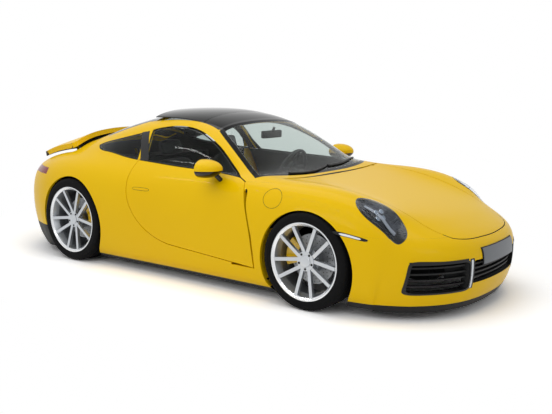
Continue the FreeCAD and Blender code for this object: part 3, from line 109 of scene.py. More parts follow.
def spread_colour(material, fac, low, high):
    """Base colour that runs between two hex colours with a 0 to 1 output."""
    ramp = add_node(material, "ShaderNodeValToRGB", links={"Fac": fac})
    ramp.color_ramp.elements[0].color = linear(low)
    ramp.color_ramp.elements[1].color = linear(high)
    into_shader(material, ramp.outputs["Color"], "Base Color")


def spread_roughness(material, fac, low, high):
    """Roughness that runs from low to high with a 0 to 1 output."""
    spread = add_node(material, "ShaderNodeMapRange", {"To Min": low, "To Max": high}, {"Value": fac})
    into_shader(material, spread.outputs["Result"], "Roughness")


def grain(material, size_mm, detail=4.0):
    """Noise in object coordinates whose blobs are about size_mm across."""
    place = add_node(material, "ShaderNodeTexCoord")
    noise = add_node(material, "ShaderNodeTexNoise", {"Scale": 1000.0 / size_mm, "Detail": detail},
                     {"Vector": place.outputs["Object"]})
    return noise.outputs["Fac"]


print("enamel yellow in linear light", linear("#f0c200"))

# %% [markdown]
# The body is sprayed with solid yellow enamel under a clear coat, and what isn't painted is black
# plastic, either grained or polished. A Principled shader with a coat holds the paint, and a faint
# bump gives the orange peel that sprayed lacquer has.

# %% Paint and black plastics
# Solid enamel under clear coat: a plain pigment with a hard glassy layer and faint orange peel
paint = finish_of("solid_yellow_enamel", "#f0c200", Roughness=0.45, Coat_Weight=0.3, Coat_Roughness=0.03,
                  Coat_IOR=1.32, Specular_IOR_Level=0.05)
spread_colour(paint, grain(paint, 900.0, 1.0), "#eebe00", "#f2c600")
link_bump(paint, grain(paint, 6.0, 1.0), 0.06, 0.0002)
# Moulded black plastic, grained in the mould so that it stays dull
trim = finish_of("grained_black_plastic", "#0c0d0e", Roughness=0.55, Specular_IOR_Level=0.3)
spread_roughness(trim, grain(trim, 25.0), 0.48, 0.62)
link_bump(trim, grain(trim, 1.5), 0.25, 0.0004)
# Piano-black plastic, polished in the mould
gloss_black = finish_of("polished_black_plastic", "#050606", Roughness=0.08, Specular_IOR_Level=0.35)
spread_roughness(gloss_black, grain(gloss_black, 60.0), 0.06, 0.12)
# Dull dark wax and primer on what is hidden behind the panels, and painted shade in gaps and drilled holes
cavity_and_gap_shade = finish_of("wax_on_primer_and_painted_gap_shade", "#0e0f10", Roughness=0.7, Specular_IOR_Level=0.2)
spread_colour(cavity_and_gap_shade, grain(cavity_and_gap_shade, 80.0), "#0b0c0d", "#151617")
print("paint and plastics", [material.name for material in (paint, trim, gloss_black, cavity_and_gap_shade)])

# %% [markdown]
# The windows are thin tinted glass with a black ceramic border. A pane is only a few millimetres
# thick, so its index is set low: a full one would bend the view through the curved panes more than
# the real ones do. Roof and sunroof are so dark that they need no light through them.

# %% Window and roof glass
BORDER_FADE_MM = 3


def window_glass(name, colour, border_mm):
    """Tinted float glass with the black ceramic border that is baked on where it is bonded.

    The "border" attribute holds each corner's distance to the pane's outline, so the shader can
    draw the border at an even width without needing a cut in the mesh.
    """
    material = finish_of(name, colour, Roughness=0.0, IOR=1.14, Transmission_Weight=1.0)
    distance = add_node(material, "ShaderNodeAttribute", attribute_name="border")
    inside = add_node(material, "ShaderNodeMapRange",
                      {"From Min": border_mm / 1000, "From Max": (border_mm + BORDER_FADE_MM) / 1000},
                      {"Value": distance.outputs["Fac"]})
    spread_colour(material, inside.outputs["Result"], "#050606", colour)
    into_shader(material, inside.outputs["Result"], "Transmission Weight")
    return material


# Float glass with a light grey-green tint in front and darker panes behind
clear_pane = window_glass("tinted_windscreen_glass", "#e9efec", 38.0)
side_pane = window_glass("tinted_side_glass", "#cdd5d3", 9.0)
rear_pane = window_glass("tinted_rear_glass", "#a4aba9", 45.0)
# Privacy glass over the roof: almost black
dark_glass = finish_of("black_roof_glass", "#060808", Roughness=0.05, IOR=1.25)
spread_roughness(dark_glass, grain(dark_glass, 300.0), 0.04, 0.07)
print("glass", [material.name for material in (clear_pane, side_pane, rear_pane, dark_glass)])

# %% [markdown]
# Wheels and running gear are metal with different skins: lacquered, raw cast, ground or enamelled.
# Each keeps the default index, and its roughness says how its surface was made. Rubber is nearly
# black and dull, with a low specular level, so that the tyres don't shine like plastic.

# %% Metals of the wheels and the running gear, and tyre rubber
# Cast and machined aluminium wheel, lacquered silver
silver = finish_of("lacquered_cast_aluminium", "#bfc3c7", Metallic=0.85, Roughness=0.3, Coat_Weight=0.5)
spread_roughness(silver, grain(silver, 40.0), 0.26, 0.36)
link_bump(silver, grain(silver, 0.8), 0.05, 0.0001)
# Raw cast aluminium of knuckles and subframes
cast = finish_of("raw_cast_aluminium", "#85888a", Metallic=0.9, Roughness=0.55)
spread_roughness(cast, grain(cast, 12.0), 0.45, 0.7)
link_bump(cast, grain(cast, 2.0), 0.3, 0.0005)
# Tyre rubber, vulcanised against a fine mould
rubber = finish_of("vulcanised_tyre_rubber", "#0a0a0b", Roughness=0.8, Specular_IOR_Level=0.12)
spread_colour(rubber, grain(rubber, 30.0), "#080809", "#0e0e0f")
link_bump(rubber, grain(rubber, 1.2), 0.2, 0.0003)
# Ground cast iron of the brake discs
iron = finish_of("ground_cast_iron", "#8a8c8e", Metallic=0.9, Roughness=0.35)
# Yellow enamel baked on the calipers: glossy, a little uneven where it is thick
caliper_enamel = finish_of("baked_yellow_enamel", "#efc000", Roughness=0.25, Coat_Weight=0.6)
spread_roughness(caliper_enamel, grain(caliper_enamel, 15.0), 0.2, 0.35)
print("running gear", [material.name for material in (silver, cast, rubber, iron, caliper_enamel)])

# %% [markdown]
# A headlamp shows three things through its clear plastic cover: a dark mirror-like bowl, a satin
# blade and small glass projectors. The tail lamp is unlit, so its red acrylic is deep and dark.

# %% Lamp finishes
# Red acrylic of the tail lamp, nearly black when unlit
lens_red = finish_of("red_acrylic_lens", "#80040a", Roughness=0.12, IOR=1.25)
spread_colour(lens_red, grain(lens_red, 14.0, 1.0), "#6c0207", "#90050b")
# Clear polycarbonate of the headlamps
lens_clear = finish_of("clear_polycarbonate", "#f4f7fb", Roughness=0.0, IOR=1.18, Transmission_Weight=1.0)
spread_roughness(lens_clear, grain(lens_clear, 120.0), 0.0, 0.01)
# Small projector lenses look blue-grey with the dark behind them
projector_glass = finish_of("projector_lens_glass", "#9fb2c4", Roughness=0.02, Transmission_Weight=0.6,
                            Coat_Weight=1.0)
spread_roughness(projector_glass, grain(projector_glass, 8.0), 0.02, 0.06)
# Dark metallised bowl of a lamp
bowl_finish = finish_of("smoked_metallised_bowl", "#2b2e33", Metallic=0.6, Roughness=0.28)
spread_roughness(bowl_finish, grain(bowl_finish, 30.0), 0.22, 0.34)
# Satin grey blade across the lamp
blade_finish = finish_of("satin_grey_polycarbonate", "#8d9299", Metallic=0.5, Roughness=0.35)
spread_roughness(blade_finish, grain(blade_finish, 20.0), 0.3, 0.42)
print("lamps", [material.name for material in (lens_red, lens_clear, projector_glass, bowl_finish)])

# %% [markdown]
# A few bright finishes and the leather of the cabin are left. Leather gets two grains, a broad one
# in its gloss and a fine one in its height, because its pores are finer than its wear.

# %% Bright trim, number plate, exhaust and leather
# Turned and polished aluminium of the wheels' edge
polished = finish_of("turned_aluminium", "#dadcde", Metallic=1.0, Roughness=0.18)
spread_roughness(polished, grain(polished, 2.0), 0.12, 0.24)
# Blank number plate of pale grey coated aluminium
plate_finish = finish_of("coated_aluminium_plate", "#62666b", Roughness=0.4)
spread_roughness(plate_finish, grain(plate_finish, 12.0), 0.35, 0.45)
# Vacuum-coated chrome of reflectors and trim
chrome = finish_of("vacuum_coated_chrome", "#dfe2e4", Metallic=1.0, Roughness=0.08)
# Brushed stainless steel of the exhaust
steel = finish_of("brushed_stainless_steel", "#b0b3b5", Metallic=1.0, Roughness=0.25)
# Corrected-grain black leather
leather = finish_of("corrected_grain_leather", "#1e1f22", Roughness=0.5)
spread_roughness(leather, grain(leather, 30.0), 0.42, 0.58)
link_bump(leather, grain(leather, 2.5), 0.35, 0.0005)
print("materials", len(bpy.data.materials))

# %% [markdown]
# Every painted panel of this car is a piece of one smooth skin, a cubic B-spline surface over a
# net of given points: cross sections from behind the headlamps to the tail, and contours of a
# superellipse round both ends. The same net is written here, so that a panel's mesh can be made
# fine and laid exactly on the true curve. That gives reflections that run unbroken over seams.

# %% The net of the body's skin, in millimetres
SKIRT_Z = 60.0
SECTIONS = [
    (1750, 760, 60, 832, 110, 858, 200, 870, 320, 874, 430, 870, 520, 852, 606,
     808, 676, 746, 718, 675, 733, 603, 727, 528, 712, 434, 702, 240, 698, 0, 696),
    (1500, 790, 60, 862, 100, 886, 190, 898, 320, 906, 455, 907, 570, 888, 682,
     838, 766, 768, 810, 690, 822, 618, 808, 543, 782, 448, 762, 245, 751, 0, 748),
    (1240, 800, 60, 872, 100, 892, 190, 903, 320, 912, 460, 915, 590, 896, 712,
     842, 800, 772, 841, 700, 852, 632, 843, 558, 822, 460, 806, 250, 795, 0, 792),
    (1020, 795, 60, 868, 100, 888, 188, 895, 320, 903, 460, 905, 590, 886, 716,
     832, 803, 772, 840, 712, 853, 655, 850, 585, 840, 480, 830, 260, 822, 0, 820),
    (900, 790, 60, 866, 100, 887, 186, 893, 320, 901, 460, 903, 590, 883, 718,
     829, 806, 768, 843, 712, 857, 655, 857, 585, 850, 480, 842, 260, 834, 0, 832),
    (790, 790, 60, 865, 100, 886, 186, 892, 320, 900, 460, 902, 590, 881, 719,
     828, 810, 768, 848, 716, 864, 666, 866, 602, 866, 495, 866, 262, 858, 0, 856),
    (640, 788, 60, 862, 100, 885, 185, 890, 320, 898, 460, 900, 590, 880, 720,
     826, 814, 768, 856, 730, 872, 692, 884, 638, 900, 500, 934, 257, 958, 0, 965),
    (450, 786, 60, 860, 100, 884, 185, 889, 320, 898, 460, 899, 590, 878, 722,
     824, 818, 768, 864, 737, 893, 690, 960, 632, 1014, 495, 1062, 252, 1087, 0, 1096),
    (250, 784, 60, 860, 100, 884, 185, 889, 320, 898, 460, 899, 590, 877, 723,
     823, 820, 768, 870, 739, 905, 678, 1014, 606, 1104, 474, 1178, 243, 1211, 0, 1220),
    (0, 782, 60, 860, 100, 884, 185, 889, 320, 899, 460, 900, 590, 877, 724,
     822, 820, 768, 873, 738, 907, 660, 1050, 578, 1180, 450, 1256, 236, 1293, 0, 1300),
    (-300, 782, 60, 860, 100, 885, 185, 892, 320, 902, 460, 903, 590, 880, 722,
     824, 817, 769, 872, 735, 907, 655, 1052, 570, 1187, 446, 1260, 234, 1298, 0, 1306),
    (-650, 790, 60, 868, 100, 892, 190, 902, 320, 912, 460, 914, 590, 893, 717,
     840, 812, 777, 872, 726, 912, 645, 1035, 562, 1150, 440, 1222, 232, 1262, 0, 1271),
    (-950, 800, 60, 876, 110, 902, 200, 914, 330, 924, 460, 927, 585, 907, 704,
     862, 803, 792, 868, 716, 918, 630, 1012, 545, 1098, 425, 1160, 226, 1198, 0, 1208),
    (-1210, 810, 60, 882, 120, 908, 220, 922, 340, 932, 460, 934, 585, 917, 702,
     872, 802, 800, 866, 710, 910, 618, 968, 526, 1032, 407, 1085, 218, 1120, 0, 1130),
    (-1600, 790, 60, 856, 120, 885, 220, 900, 340, 908, 460, 908, 580, 890, 692,
     846, 788, 772, 850, 685, 888, 594, 918, 494, 945, 380, 967, 200, 987, 0, 993),
]
HEIGHT_SHARE = [1.0, 1.0, 1.0, .995, .985, .965, .925, .86, .77, .66, .53, .39, .25, .11, 0.0]
ANGLE_SHARE = [0, .17, .33, .45, .55, .635, .71, .775, .83, .875, .915, .945, .97, .987, 1.0]
WIDTH_AT = [(60, 840), (120, 868), (220, 888), (340, 900), (460, 906), (580, 902), (660, 888),
            (720, 868), (770, 838), (810, 800), (850, 760)]
NOSE_AT = [(60, 2183), (120, 2228), (210, 2256), (330, 2266), (430, 2264), (490, 2240),
           (530, 2200), (560, 2140), (600, 2050), (650, 1945)]
TAIL_AT = [(60, -2107), (120, -2157), (200, -2207), (350, -2252), (500, -2269), (620, -2259),
           (700, -2242), (760, -2212), (800, -2157), (840, -2067), (880, -1937)]
NOSE_ROWS = [(60, 48, 0), (120, 50, 0), (215, 52.5, 0), (330, 55, 0), (430, 57.5, 0),
             (500, 60, 4), (552, 62.5, 10), (598, 65, 22), (640, 68, 40)]
TAIL_ROWS = [(885, 69, -8), (845, 66, -4), (800, 64, 0), (745, 62, 0), (640, 60, 0),
             (500, 58, 0), (350, 56, 0), (215, 54, 0), (120, 52, 0), (60, 50, 0)]
NOSE_CENTRE, TAIL_CENTRE, TAIL_WIDEN = 1300.0, -1250.0, 1.012
ROUNDNESS = 2.5
CORNER_COLUMN, CORNER_SPREAD = 5, 1.8


def end_row(centre_z, angle, reach_at, centre_x, widen, lift):
    """Row round an end: x = cx + (reach(z) - cx) cos(a)^(2/n), y = width(z) sin(a)^(2/n)."""
    column = np.arange(len(HEIGHT_SHARE))
    z = SKIRT_Z + (centre_z - SKIRT_Z) * np.array(HEIGHT_SHARE)
    z = z + lift * np.exp(-((column - CORNER_COLUMN) / CORNER_SPREAD) ** 2)
    turn = np.radians(angle) * np.array(ANGLE_SHARE)
    power = 2.0 / ROUNDNESS
    x = centre_x + (np.interp(z, *zip(*reach_at)) - centre_x) * np.cos(turn) ** power
    y = np.interp(z, *zip(*WIDTH_AT)) * widen * np.sin(turn) ** power
    z[-1] = SKIRT_Z
    return np.stack([x, y, z], axis=1)[::-1]


half = [end_row(z, a, NOSE_AT, NOSE_CENTRE, 1.0, lift) for z, a, lift in NOSE_ROWS]
half += [np.insert(np.reshape(row[1:], (-1, 2)), 0, row[0], axis=1) for row in SECTIONS]
half += [end_row(z, a, TAIL_AT, TAIL_CENTRE, TAIL_WIDEN, lift) for z, a, lift in TAIL_ROWS]
half = np.array(half, float)
NET = np.concatenate([half, half[:, -2::-1] * (1, -1, 1)], axis=1) / 1000
ROWS, COLUMNS = NET.shape[:2]
print("net", ROWS, "rows of", COLUMNS)

# %% [markdown]
# A B-spline point is a blend of the 4 by 4 net points around it. The blend weights come from the
# Cox - de Boor recursion, worked here for whole arrays of parameters at once, with their slopes.

# %% Points and normals of the skin


def weights(t, count):
    """First net index, four cubic weights and their slopes at each t, on clamped even knots."""
    spans = count - 3
    knots = np.concatenate([np.zeros(3), np.linspace(0, 1, spans + 1), np.ones(3)])
    first = np.clip((t * spans).astype(int), 0, spans - 1)
    k = first + 3
    values = [np.ones_like(t)]
    for degree in (1, 2, 3):
        lower, values = values, [np.zeros_like(t) for _ in range(degree + 1)]
        for j in range(degree):
            left, right = knots[k - degree + 1 + j], knots[k + 1 + j]
            share = lower[j] / (right - left)
            values[j] = values[j] + share * (right - t)
            values[j + 1] = values[j + 1] + share * (t - left)
    slopes = [np.zeros_like(t) for _ in range(4)]
    for j in range(3):
        share = 3 * lower[j] / (knots[k + 1 + j] - knots[k - 2 + j])
        slopes[j] = slopes[j] - share
        slopes[j + 1] = slopes[j + 1] + share
    return first, values, slopes


def skin(u, v):
    """Point of the skin and its slopes along u, nose to tail, and v, left skirt over the roof to right."""
    row, wu, du = weights(u, ROWS)
    column, wv, dv = weights(v, COLUMNS)
    point, along, across = np.zeros((3, len(u), 3))
    for i in range(4):
        for j in range(4):
            net = NET[row + i, column + j]
            point += net * (wu[i] * wv[j])[:, None]
            along += net * (du[i] * wv[j])[:, None]
            across += net * (wu[i] * dv[j])[:, None]
    return point, along, across


def outward(along, across):
    """Unit normal of the skin from its two slopes."""
    normal = np.cross(along, across)
    return normal / np.maximum(np.linalg.norm(normal, axis=1, keepdims=True), 1e-12)


SEARCH_GRID = (160, 120)
SETTLE_STEP, SEEN_STEP = 0.05, 0.04
guess_u, guess_v = [part.ravel() for part in np.meshgrid(
    *[np.linspace(0, 1, count) for count in SEARCH_GRID], indexing="ij")]
guess_point, guess_along, guess_across = skin(guess_u, guess_v)
guess_normal = outward(guess_along, guess_across)
guess_tree = KDTree(len(guess_u))
for number, place in enumerate(guess_point.tolist()):
    guess_tree.insert(place, number)
guess_tree.balance()


def settle(points, u, v, rounds=6):
    """Parameters of the nearest skin point: Gauss - Newton steps on the distance, all points at once."""
    for _ in range(rounds):
        place, along, across = skin(u, v)
        gap = points - place
        a, b, c = (along * along).sum(1), (along * across).sum(1), (across * across).sum(1)
        p, q = (along * gap).sum(1), (across * gap).sum(1)
        area = np.maximum(a * c - b * b, 1e-9)
        u = np.clip(u + np.clip((c * p - b * q) / area, -SETTLE_STEP, SETTLE_STEP), 0, 1)
        v = np.clip(v + np.clip((a * q - b * p) / area, -SETTLE_STEP, SETTLE_STEP), 0, 1)
    return u, v


def nearest(points):
    """Parameters of the skin point nearest to each given point."""
    found = np.array([guess_tree.find(p)[1] for p in points.tolist()])
    return settle(points, guess_u[found], guess_v[found])


# Each view's two level coordinates, the one it looks along, and the sign of the side it looks from
FACING = {"top": (0, 1, 2, 1), "left": (0, 2, 1, 1), "right": (0, 2, 1, -1), "front": (1, 2, 0, 1),
          "back": (1, 2, 0, -1)}
LEAST_FACING, LOWEST_TOP = 0.12, 0.4


def seen(side, a, b):
    """Skin points seen from a side at the two level coordinates a and b, and their normals.

    Newton steps solve point_a(u, v) = a and point_b(u, v) = b from the nearest point of a coarse grid.
    """
    first, second, depth, sign = FACING[side]
    a, b = [np.array(part, float).ravel() for part in np.broadcast_arrays(a, b)]
    facing = guess_normal[:, depth] * sign > LEAST_FACING
    facing &= guess_point[:, depth] * sign > (LOWEST_TOP if side == "top" else 0.0)
    choice = np.flatnonzero(facing)
    gap_a = guess_point[choice, first][None] - a[:, None]
    gap_b = guess_point[choice, second][None] - b[:, None]
    start = choice[np.argmin(gap_a ** 2 + gap_b ** 2, axis=1)]
    u, v = guess_u[start], guess_v[start]
    for _ in range(12):
        place, along, across = skin(u, v)
        p, q = a - place[:, first], b - place[:, second]
        cross = along[:, first] * across[:, second] - along[:, second] * across[:, first]
        cross = np.where(np.abs(cross) < 1e-6, 1e-6, cross)
        step_u = (p * across[:, second] - q * across[:, first]) / cross
        step_v = (q * along[:, first] - p * along[:, second]) / cross
        u = np.clip(u + np.clip(step_u, -SEEN_STEP, SEEN_STEP), 0, 1)
        v = np.clip(v + np.clip(step_v, -SEEN_STEP, SEEN_STEP), 0, 1)
    place, along, across = skin(u, v)
    return place, outward(along, across)


print("roof at", seen("top", 0.0, 0.0)[0], "door at", seen("right", 0.2, 0.6)[0])

# %% [markdown]
# A packed panel comes as loose triangles that only touch the skin at their corners. Its equal
# corners are merged, long edges on the skin are halved until they are short, and every new corner
# is set on the true skin. Faces on the skin take the skin's own normals, so the gloss is even.

# %% The panels' meshes
ON_SKIN, FACES_SKIN = 0.0012, 0.7
PANEL_EDGE, MOST_HALVINGS = 0.035, 8


def cut_through(points, triangles, planes):
    """The same faces with an edge where each plane, a (point, normal) pair, crosses them."""
    mesh = bpy.data.meshes.new("cut")
    mesh.from_pydata(points.tolist(), [], triangles.tolist())
    shape = bmesh.new()
    shape.from_mesh(mesh)
    for place, normal in planes:
        parts = shape.verts[:] + shape.edges[:] + shape.faces[:]
        bmesh.ops.bisect_plane(shape, geom=parts, dist=1e-6, plane_co=place, plane_no=normal)
    bmesh.ops.triangulate(shape, faces=shape.faces[:])
    shape.to_mesh(mesh)
    shape.free()
    points = np.empty(len(mesh.vertices) * 3)
    mesh.vertices.foreach_get("co", points)
    triangles = np.empty(len(mesh.loops), int)
    mesh.loops.foreach_get("vertex_index", triangles)
    bpy.data.meshes.remove(mesh)
    return points.reshape(-1, 3), triangles.reshape(-1, 3)


def merged(node):
    """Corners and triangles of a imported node, equal corners made one."""
    mesh = nodes[node].data
    mesh.calc_loop_triangles()
    points = np.empty(len(mesh.vertices) * 3)
    mesh.vertices.foreach_get("co", points)
    triangles = np.empty(len(mesh.loop_triangles) * 3, int)
    mesh.loop_triangles.foreach_get("vertices", triangles)
    points = points.reshape(-1, 3)
    _, first, back = np.unique(np.round(points, 6), axis=0, return_index=True, return_inverse=True)
    triangles = back.ravel()[triangles].reshape(-1, 3)
    a, b, c = triangles.T
    return points[first], triangles[(a != b) & (b != c) & (c != a)]


def halve(points, u, v, triangles, on_skin, limit):
    """Halves each edge of a skin triangle that is longer than limit, and cuts its neighbours to match.

    A triangle with no, one, two or three halved edges becomes one, two, three or four triangles.
    """
    edges = np.sort(triangles[:, [[0, 1], [1, 2], [2, 0]]].reshape(-1, 2), axis=1)
    unique, index = np.unique(edges, axis=0, return_inverse=True)
    index = index.reshape(-1, 3)
    long = np.linalg.norm(points[unique[:, 0]] - points[unique[:, 1]], axis=1) > limit
    used = np.zeros(len(unique), bool)
    used[index[on_skin].ravel()] = True
    long &= used
    number = np.full(len(unique), -1)
    number[long] = len(points) + np.arange(long.sum())
    ends = unique[long]
    middle_u, middle_v = settle(points[ends].mean(1), u[ends].mean(1), v[ends].mean(1), 4)
    points = np.concatenate([points, skin(middle_u, middle_v)[0]])
    u, v = np.concatenate([u, middle_u]), np.concatenate([v, middle_v])
    middles = number[index]
    count = (middles >= 0).sum(1)
    one, two = np.argmax(middles >= 0, 1), (np.argmax(middles < 0, 1) + 1) % 3
    start = np.where(count == 1, one, np.where(count == 2, two, 0))
    order = (start[:, None] + np.arange(3)) % 3
    a, b, c = np.take_along_axis(triangles, order, 1).T
    p, q, r = np.take_along_axis(middles, order, 1).T
    patterns = [[(a, b, c)], [(a, p, c), (p, b, c)], [(p, b, q), (a, p, q), (a, q, c)],
                [(a, p, r), (p, b, q), (r, q, c), (p, q, r)]]
    pieces, masks = [], []
    for cuts, rows in enumerate(patterns):
        for row in rows:
            pieces.append(np.stack(row, 1)[count == cuts])
            masks.append(on_skin[count == cuts])
    return points, u, v, np.concatenate(pieces), np.concatenate(masks), bool(long.any())


def face_normals(points, triangles):
    """Unit normal of each triangle."""
    a, b, c = points[triangles].transpose(1, 0, 2)
    normal = np.cross(b - a, c - a)
    return normal / np.maximum(np.linalg.norm(normal, axis=1, keepdims=True), 1e-15)


def skin_mesh(node, lifted=0.0, planes=()):
    """A packed panel made fine on the skin: corners, their u and v, triangles, and which are on it."""
    points, triangles = merged(node)
    points = points - lifted
    if planes:
        points, triangles = cut_through(points, triangles, planes)
    u, v = nearest(points)
    place, along, across = skin(u, v)
    close = np.linalg.norm(points - place, axis=1) < ON_SKIN
    flat, normal = face_normals(points, triangles), outward(along, across)
    facing = (flat[:, None] * normal[triangles]).sum(2).min(1) > FACES_SKIN
    on_skin = close[triangles].all(1) & facing
    touched = np.unique(triangles[on_skin])
    points[touched] = place[touched]
    for _ in range(MOST_HALVINGS):
        points, u, v, triangles, on_skin, more = halve(points, u, v, triangles, on_skin, PANEL_EDGE)
        if not more:
            break
    return points + lifted, u, v, triangles, on_skin


print("roof panel as packed has", len(merged("roof_panel")[1]), "triangles")

# %% [markdown]
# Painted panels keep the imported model's cut walls and inner side, each with its own finish. A
# window pane needs two faces of one shape, or what is seen through it bends, so it is made from
# the skin faces and the same faces moved inward by the thickness of the glass.

# %% Painted panels and window panes
GLASS_THICK = 0.004
ACROSS_SKIN = 0.4
body_of = {node: body for body, members in frame["record"]["behaviour"]["bodies"].items()
           for node in members}


def new_mesh(name, points, faces, materials, body, face_material=None, smooth=True):
    """A mesh object that rides on a body, with one material or one for each face."""
    mesh = bpy.data.meshes.new(name)
    mesh.from_pydata(points.tolist(), [], faces if isinstance(faces, list) else faces.tolist())
    for material in materials:
        mesh.materials.append(material)
    if face_material is not None:
        mesh.polygons.foreach_set("material_index", np.asarray(face_material, np.int32))
    mesh.polygons.foreach_set("use_smooth", np.full(len(mesh.polygons), smooth))
    mesh.update()
    piece = bpy.data.objects.new(name, mesh)
    bpy.context.scene.collection.objects.link(piece)
    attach(piece, body)
    return piece


def give_normals(mesh, angle, faces, normals):
    """Makes edges past an angle sharp and gives the chosen faces' corners their own normals."""
    mesh.set_sharp_from_angle(angle=math.radians(angle))
    corner = np.empty(len(mesh.loops) * 3)
    mesh.corner_normals.foreach_get("vector", corner)
    corner = corner.reshape(-1, 3, 3)
    corner[faces] = normals
    mesh.normals_split_custom_set(corner.reshape(-1, 3).tolist())


def panel(node, outside, inside, edge=None, lifted=0.0, planes=(), accents=()):
    """A painted panel in place of a node: outside on the skin, edge on its cut walls, inside behind.

    accents are (material, test) pairs: faces whose centres pass the test take that material.
    """
    points, u, v, triangles, on_skin = skin_mesh(node, lifted, planes)
    normal = outward(*skin(u, v)[1:])
    lean = np.abs((face_normals(points, triangles)[:, None] * normal[triangles]).sum(2).mean(1))
    kind = np.where(on_skin, 0, np.where(lean < ACROSS_SKIN, 1, 2))
    centres = points[triangles].mean(1)
    for number, (_, test) in enumerate(accents):
        kind[(kind < 2) & test(centres)] = 3 + number
    materials = [outside, edge or outside, inside] + [material for material, _ in accents]
    piece = new_mesh("panel_" + node, points, triangles, materials, body_of[node], kind)
    give_normals(piece.data, 30, on_skin, normal[triangles[on_skin]])
    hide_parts(node)
    print(piece.name, len(triangles), "triangles,", int(on_skin.sum()), "on the skin")


def border_distance(points, ends):
    """Each point's distance to the nearest outline edge: share = clip(offset . run / run . run, 0, 1)."""
    start, end = points[ends.T]
    run = end - start
    length = np.maximum((run * run).sum(1), 1e-12)
    nearest_gap = np.empty(len(points))
    for low in range(0, len(points), 2000):
        offset = points[low:low + 2000, None] - start
        share = np.clip((offset * run).sum(2) / length, 0, 1)
        nearest_gap[low:low + 2000] = np.linalg.norm(offset - share[..., None] * run, axis=2).min(1)
    return nearest_gap


def pane(node, material):
    """A window pane: the node's skin faces, the same faces moved inward, and the edge between them."""
    points, u, v, triangles, on_skin = skin_mesh(node)
    used, triangles = np.unique(triangles[on_skin], return_inverse=True)
    triangles = triangles.reshape(-1, 3)
    points = points[used]
    normal = outward(*skin(u[used], v[used])[1:])
    edges = triangles[:, [[0, 1], [1, 2], [2, 0]]].reshape(-1, 2)
    _, first, count = np.unique(np.sort(edges, axis=1), axis=0, return_index=True, return_counts=True)
    rim = edges[first[count == 1]]
    far = len(points)
    walls = np.concatenate([np.stack([rim[:, 1], rim[:, 0], rim[:, 0] + far], 1),
                            np.stack([rim[:, 1], rim[:, 0] + far, rim[:, 1] + far], 1)])
    faces = np.concatenate([triangles, triangles[:, ::-1] + far, walls])
    both = np.concatenate([points, points - GLASS_THICK * normal])
    piece = new_mesh("pane_" + node, both, faces, [material], body_of[node])
    border = piece.data.attributes.new("border", "FLOAT", "POINT")
    border.data.foreach_set("value", np.tile(border_distance(points, rim), 2).astype(np.float32))
    two_sides = np.concatenate([normal[triangles], -normal[triangles[:, ::-1]]])
    give_normals(piece.data, 40, slice(0, len(two_sides)), two_sides)
    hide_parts(node)
    print(piece.name, len(faces), "triangles")


def below(z):
    """Test for faces under a height."""
    return lambda centres: centres[:, 2] < z


# The spoiler stands raised; lowered by its whole travel it lies in the skin
joints = {joint["name"]: joint for joint in frame["record"]["behaviour"]["joints"]}
slide = joints["spoiler_slide"]
slide_way = np.array(slide["axis"]) / np.linalg.norm(slide["axis"])
SPOILER_LIFT = -slide["range_m"][0] * slide_way
UP = (0.0, 0.0, 1.0)
SILL_EDGE_Z, SPLITTER_Z, DIFFUSER_Z = 0.098, 0.112, 0.265
panel("body_shell", paint, trim, planes=[((0, 0, SILL_EDGE_Z), UP)], accents=[(trim, below(SILL_EDGE_Z))])
for node in ("door_l", "door_r"):
    panel(node, paint, trim)
for node in ("front_fender_l", "front_fender_r", "front_lid"):
    panel(node, paint, cavity_and_gap_shade)
panel("front_bumper", paint, cavity_and_gap_shade, edge=trim, planes=[((0, 0, SPLITTER_Z), UP)],
      accents=[(trim, below(SPLITTER_Z))])
panel("rear_bumper", paint, cavity_and_gap_shade, planes=[((0, 0, DIFFUSER_Z), UP)], accents=[(trim, below(DIFFUSER_Z))])
panel("spoiler", paint, cavity_and_gap_shade, lifted=SPOILER_LIFT)
for node, material in (("rear_lid", trim), ("roof_panel", dark_glass), ("tail_lamp", lens_red)):
    panel(node, material, cavity_and_gap_shade)
pane("windscreen", clear_pane)
pane("rear_window", rear_pane)
for node in ("quarter_glass", "door_glass_l", "door_glass_r"):
    pane(node, side_pane)

# %% [markdown]
# Small parts that lie on the skin, such as handles, flaps, covers and lamps, are plates: a grid of
# points is set on the skin as seen from one side, lifted by a little and given a thickness. A
# round or oval one is a fan of rings, each the outline drawn in towards its centre.

# %% Plates on the skin


def closed_up(piece):
    """Merges equal corners of a closed piece and turns all its faces outward."""
    shape = bmesh.new()
    shape.from_mesh(piece.data)
    bmesh.ops.remove_doubles(shape, verts=shape.verts[:], dist=1e-6)
    bmesh.ops.dissolve_degenerate(shape, edges=shape.edges[:], dist=1e-7)
    bmesh.ops.recalc_face_normals(shape, faces=shape.faces[:])
    shape.to_mesh(piece.data)
    shape.free()
    piece.data.set_sharp_from_angle(angle=math.radians(35))
    return piece


def sheet_faces(rows, columns, wrap):
    """Quads of a grid, its inner copy behind it and the walls that join the two round the border.

    wrap says where the border is: all round, on the outer row of a fan, or on both rows of a ring.
    """
    number = np.arange(rows * columns).reshape(rows, columns)
    far = rows * columns
    quads = [number[:-1, :-1], number[1:, :-1], number[1:, 1:], number[:-1, 1:]]
    quads = np.stack(quads, -1).reshape(-1, 4)
    border = {"ring": [number[-1], number[0]], "fan": [number[0]], "sheet": [np.concatenate(
        [number[0, :-1], number[:-1, -1], number[-1, :0:-1], number[::-1, 0]])]}
    walls = [np.stack([loop[:-1], loop[1:], loop[1:] + far, loop[:-1] + far], -1) for loop in border[wrap]]
    return np.concatenate([quads, quads[:, ::-1] + far] + walls)


def plate(name, side, a, b, material, body="root", wrap="sheet", lift=0.001, depth=0.002):
    """Closed plate on the skin: outer face lifted by lift, inner face depth below that."""
    a, b = np.broadcast_arrays(np.asarray(a, float), np.asarray(b, float))
    level, normal = seen(side, a, b)
    outer = level + normal * np.broadcast_to(lift, a.shape).ravel()[:, None]
    points = np.concatenate([outer, outer - normal * depth])
    return closed_up(new_mesh(name, points, sheet_faces(*a.shape, wrap), [material], body))


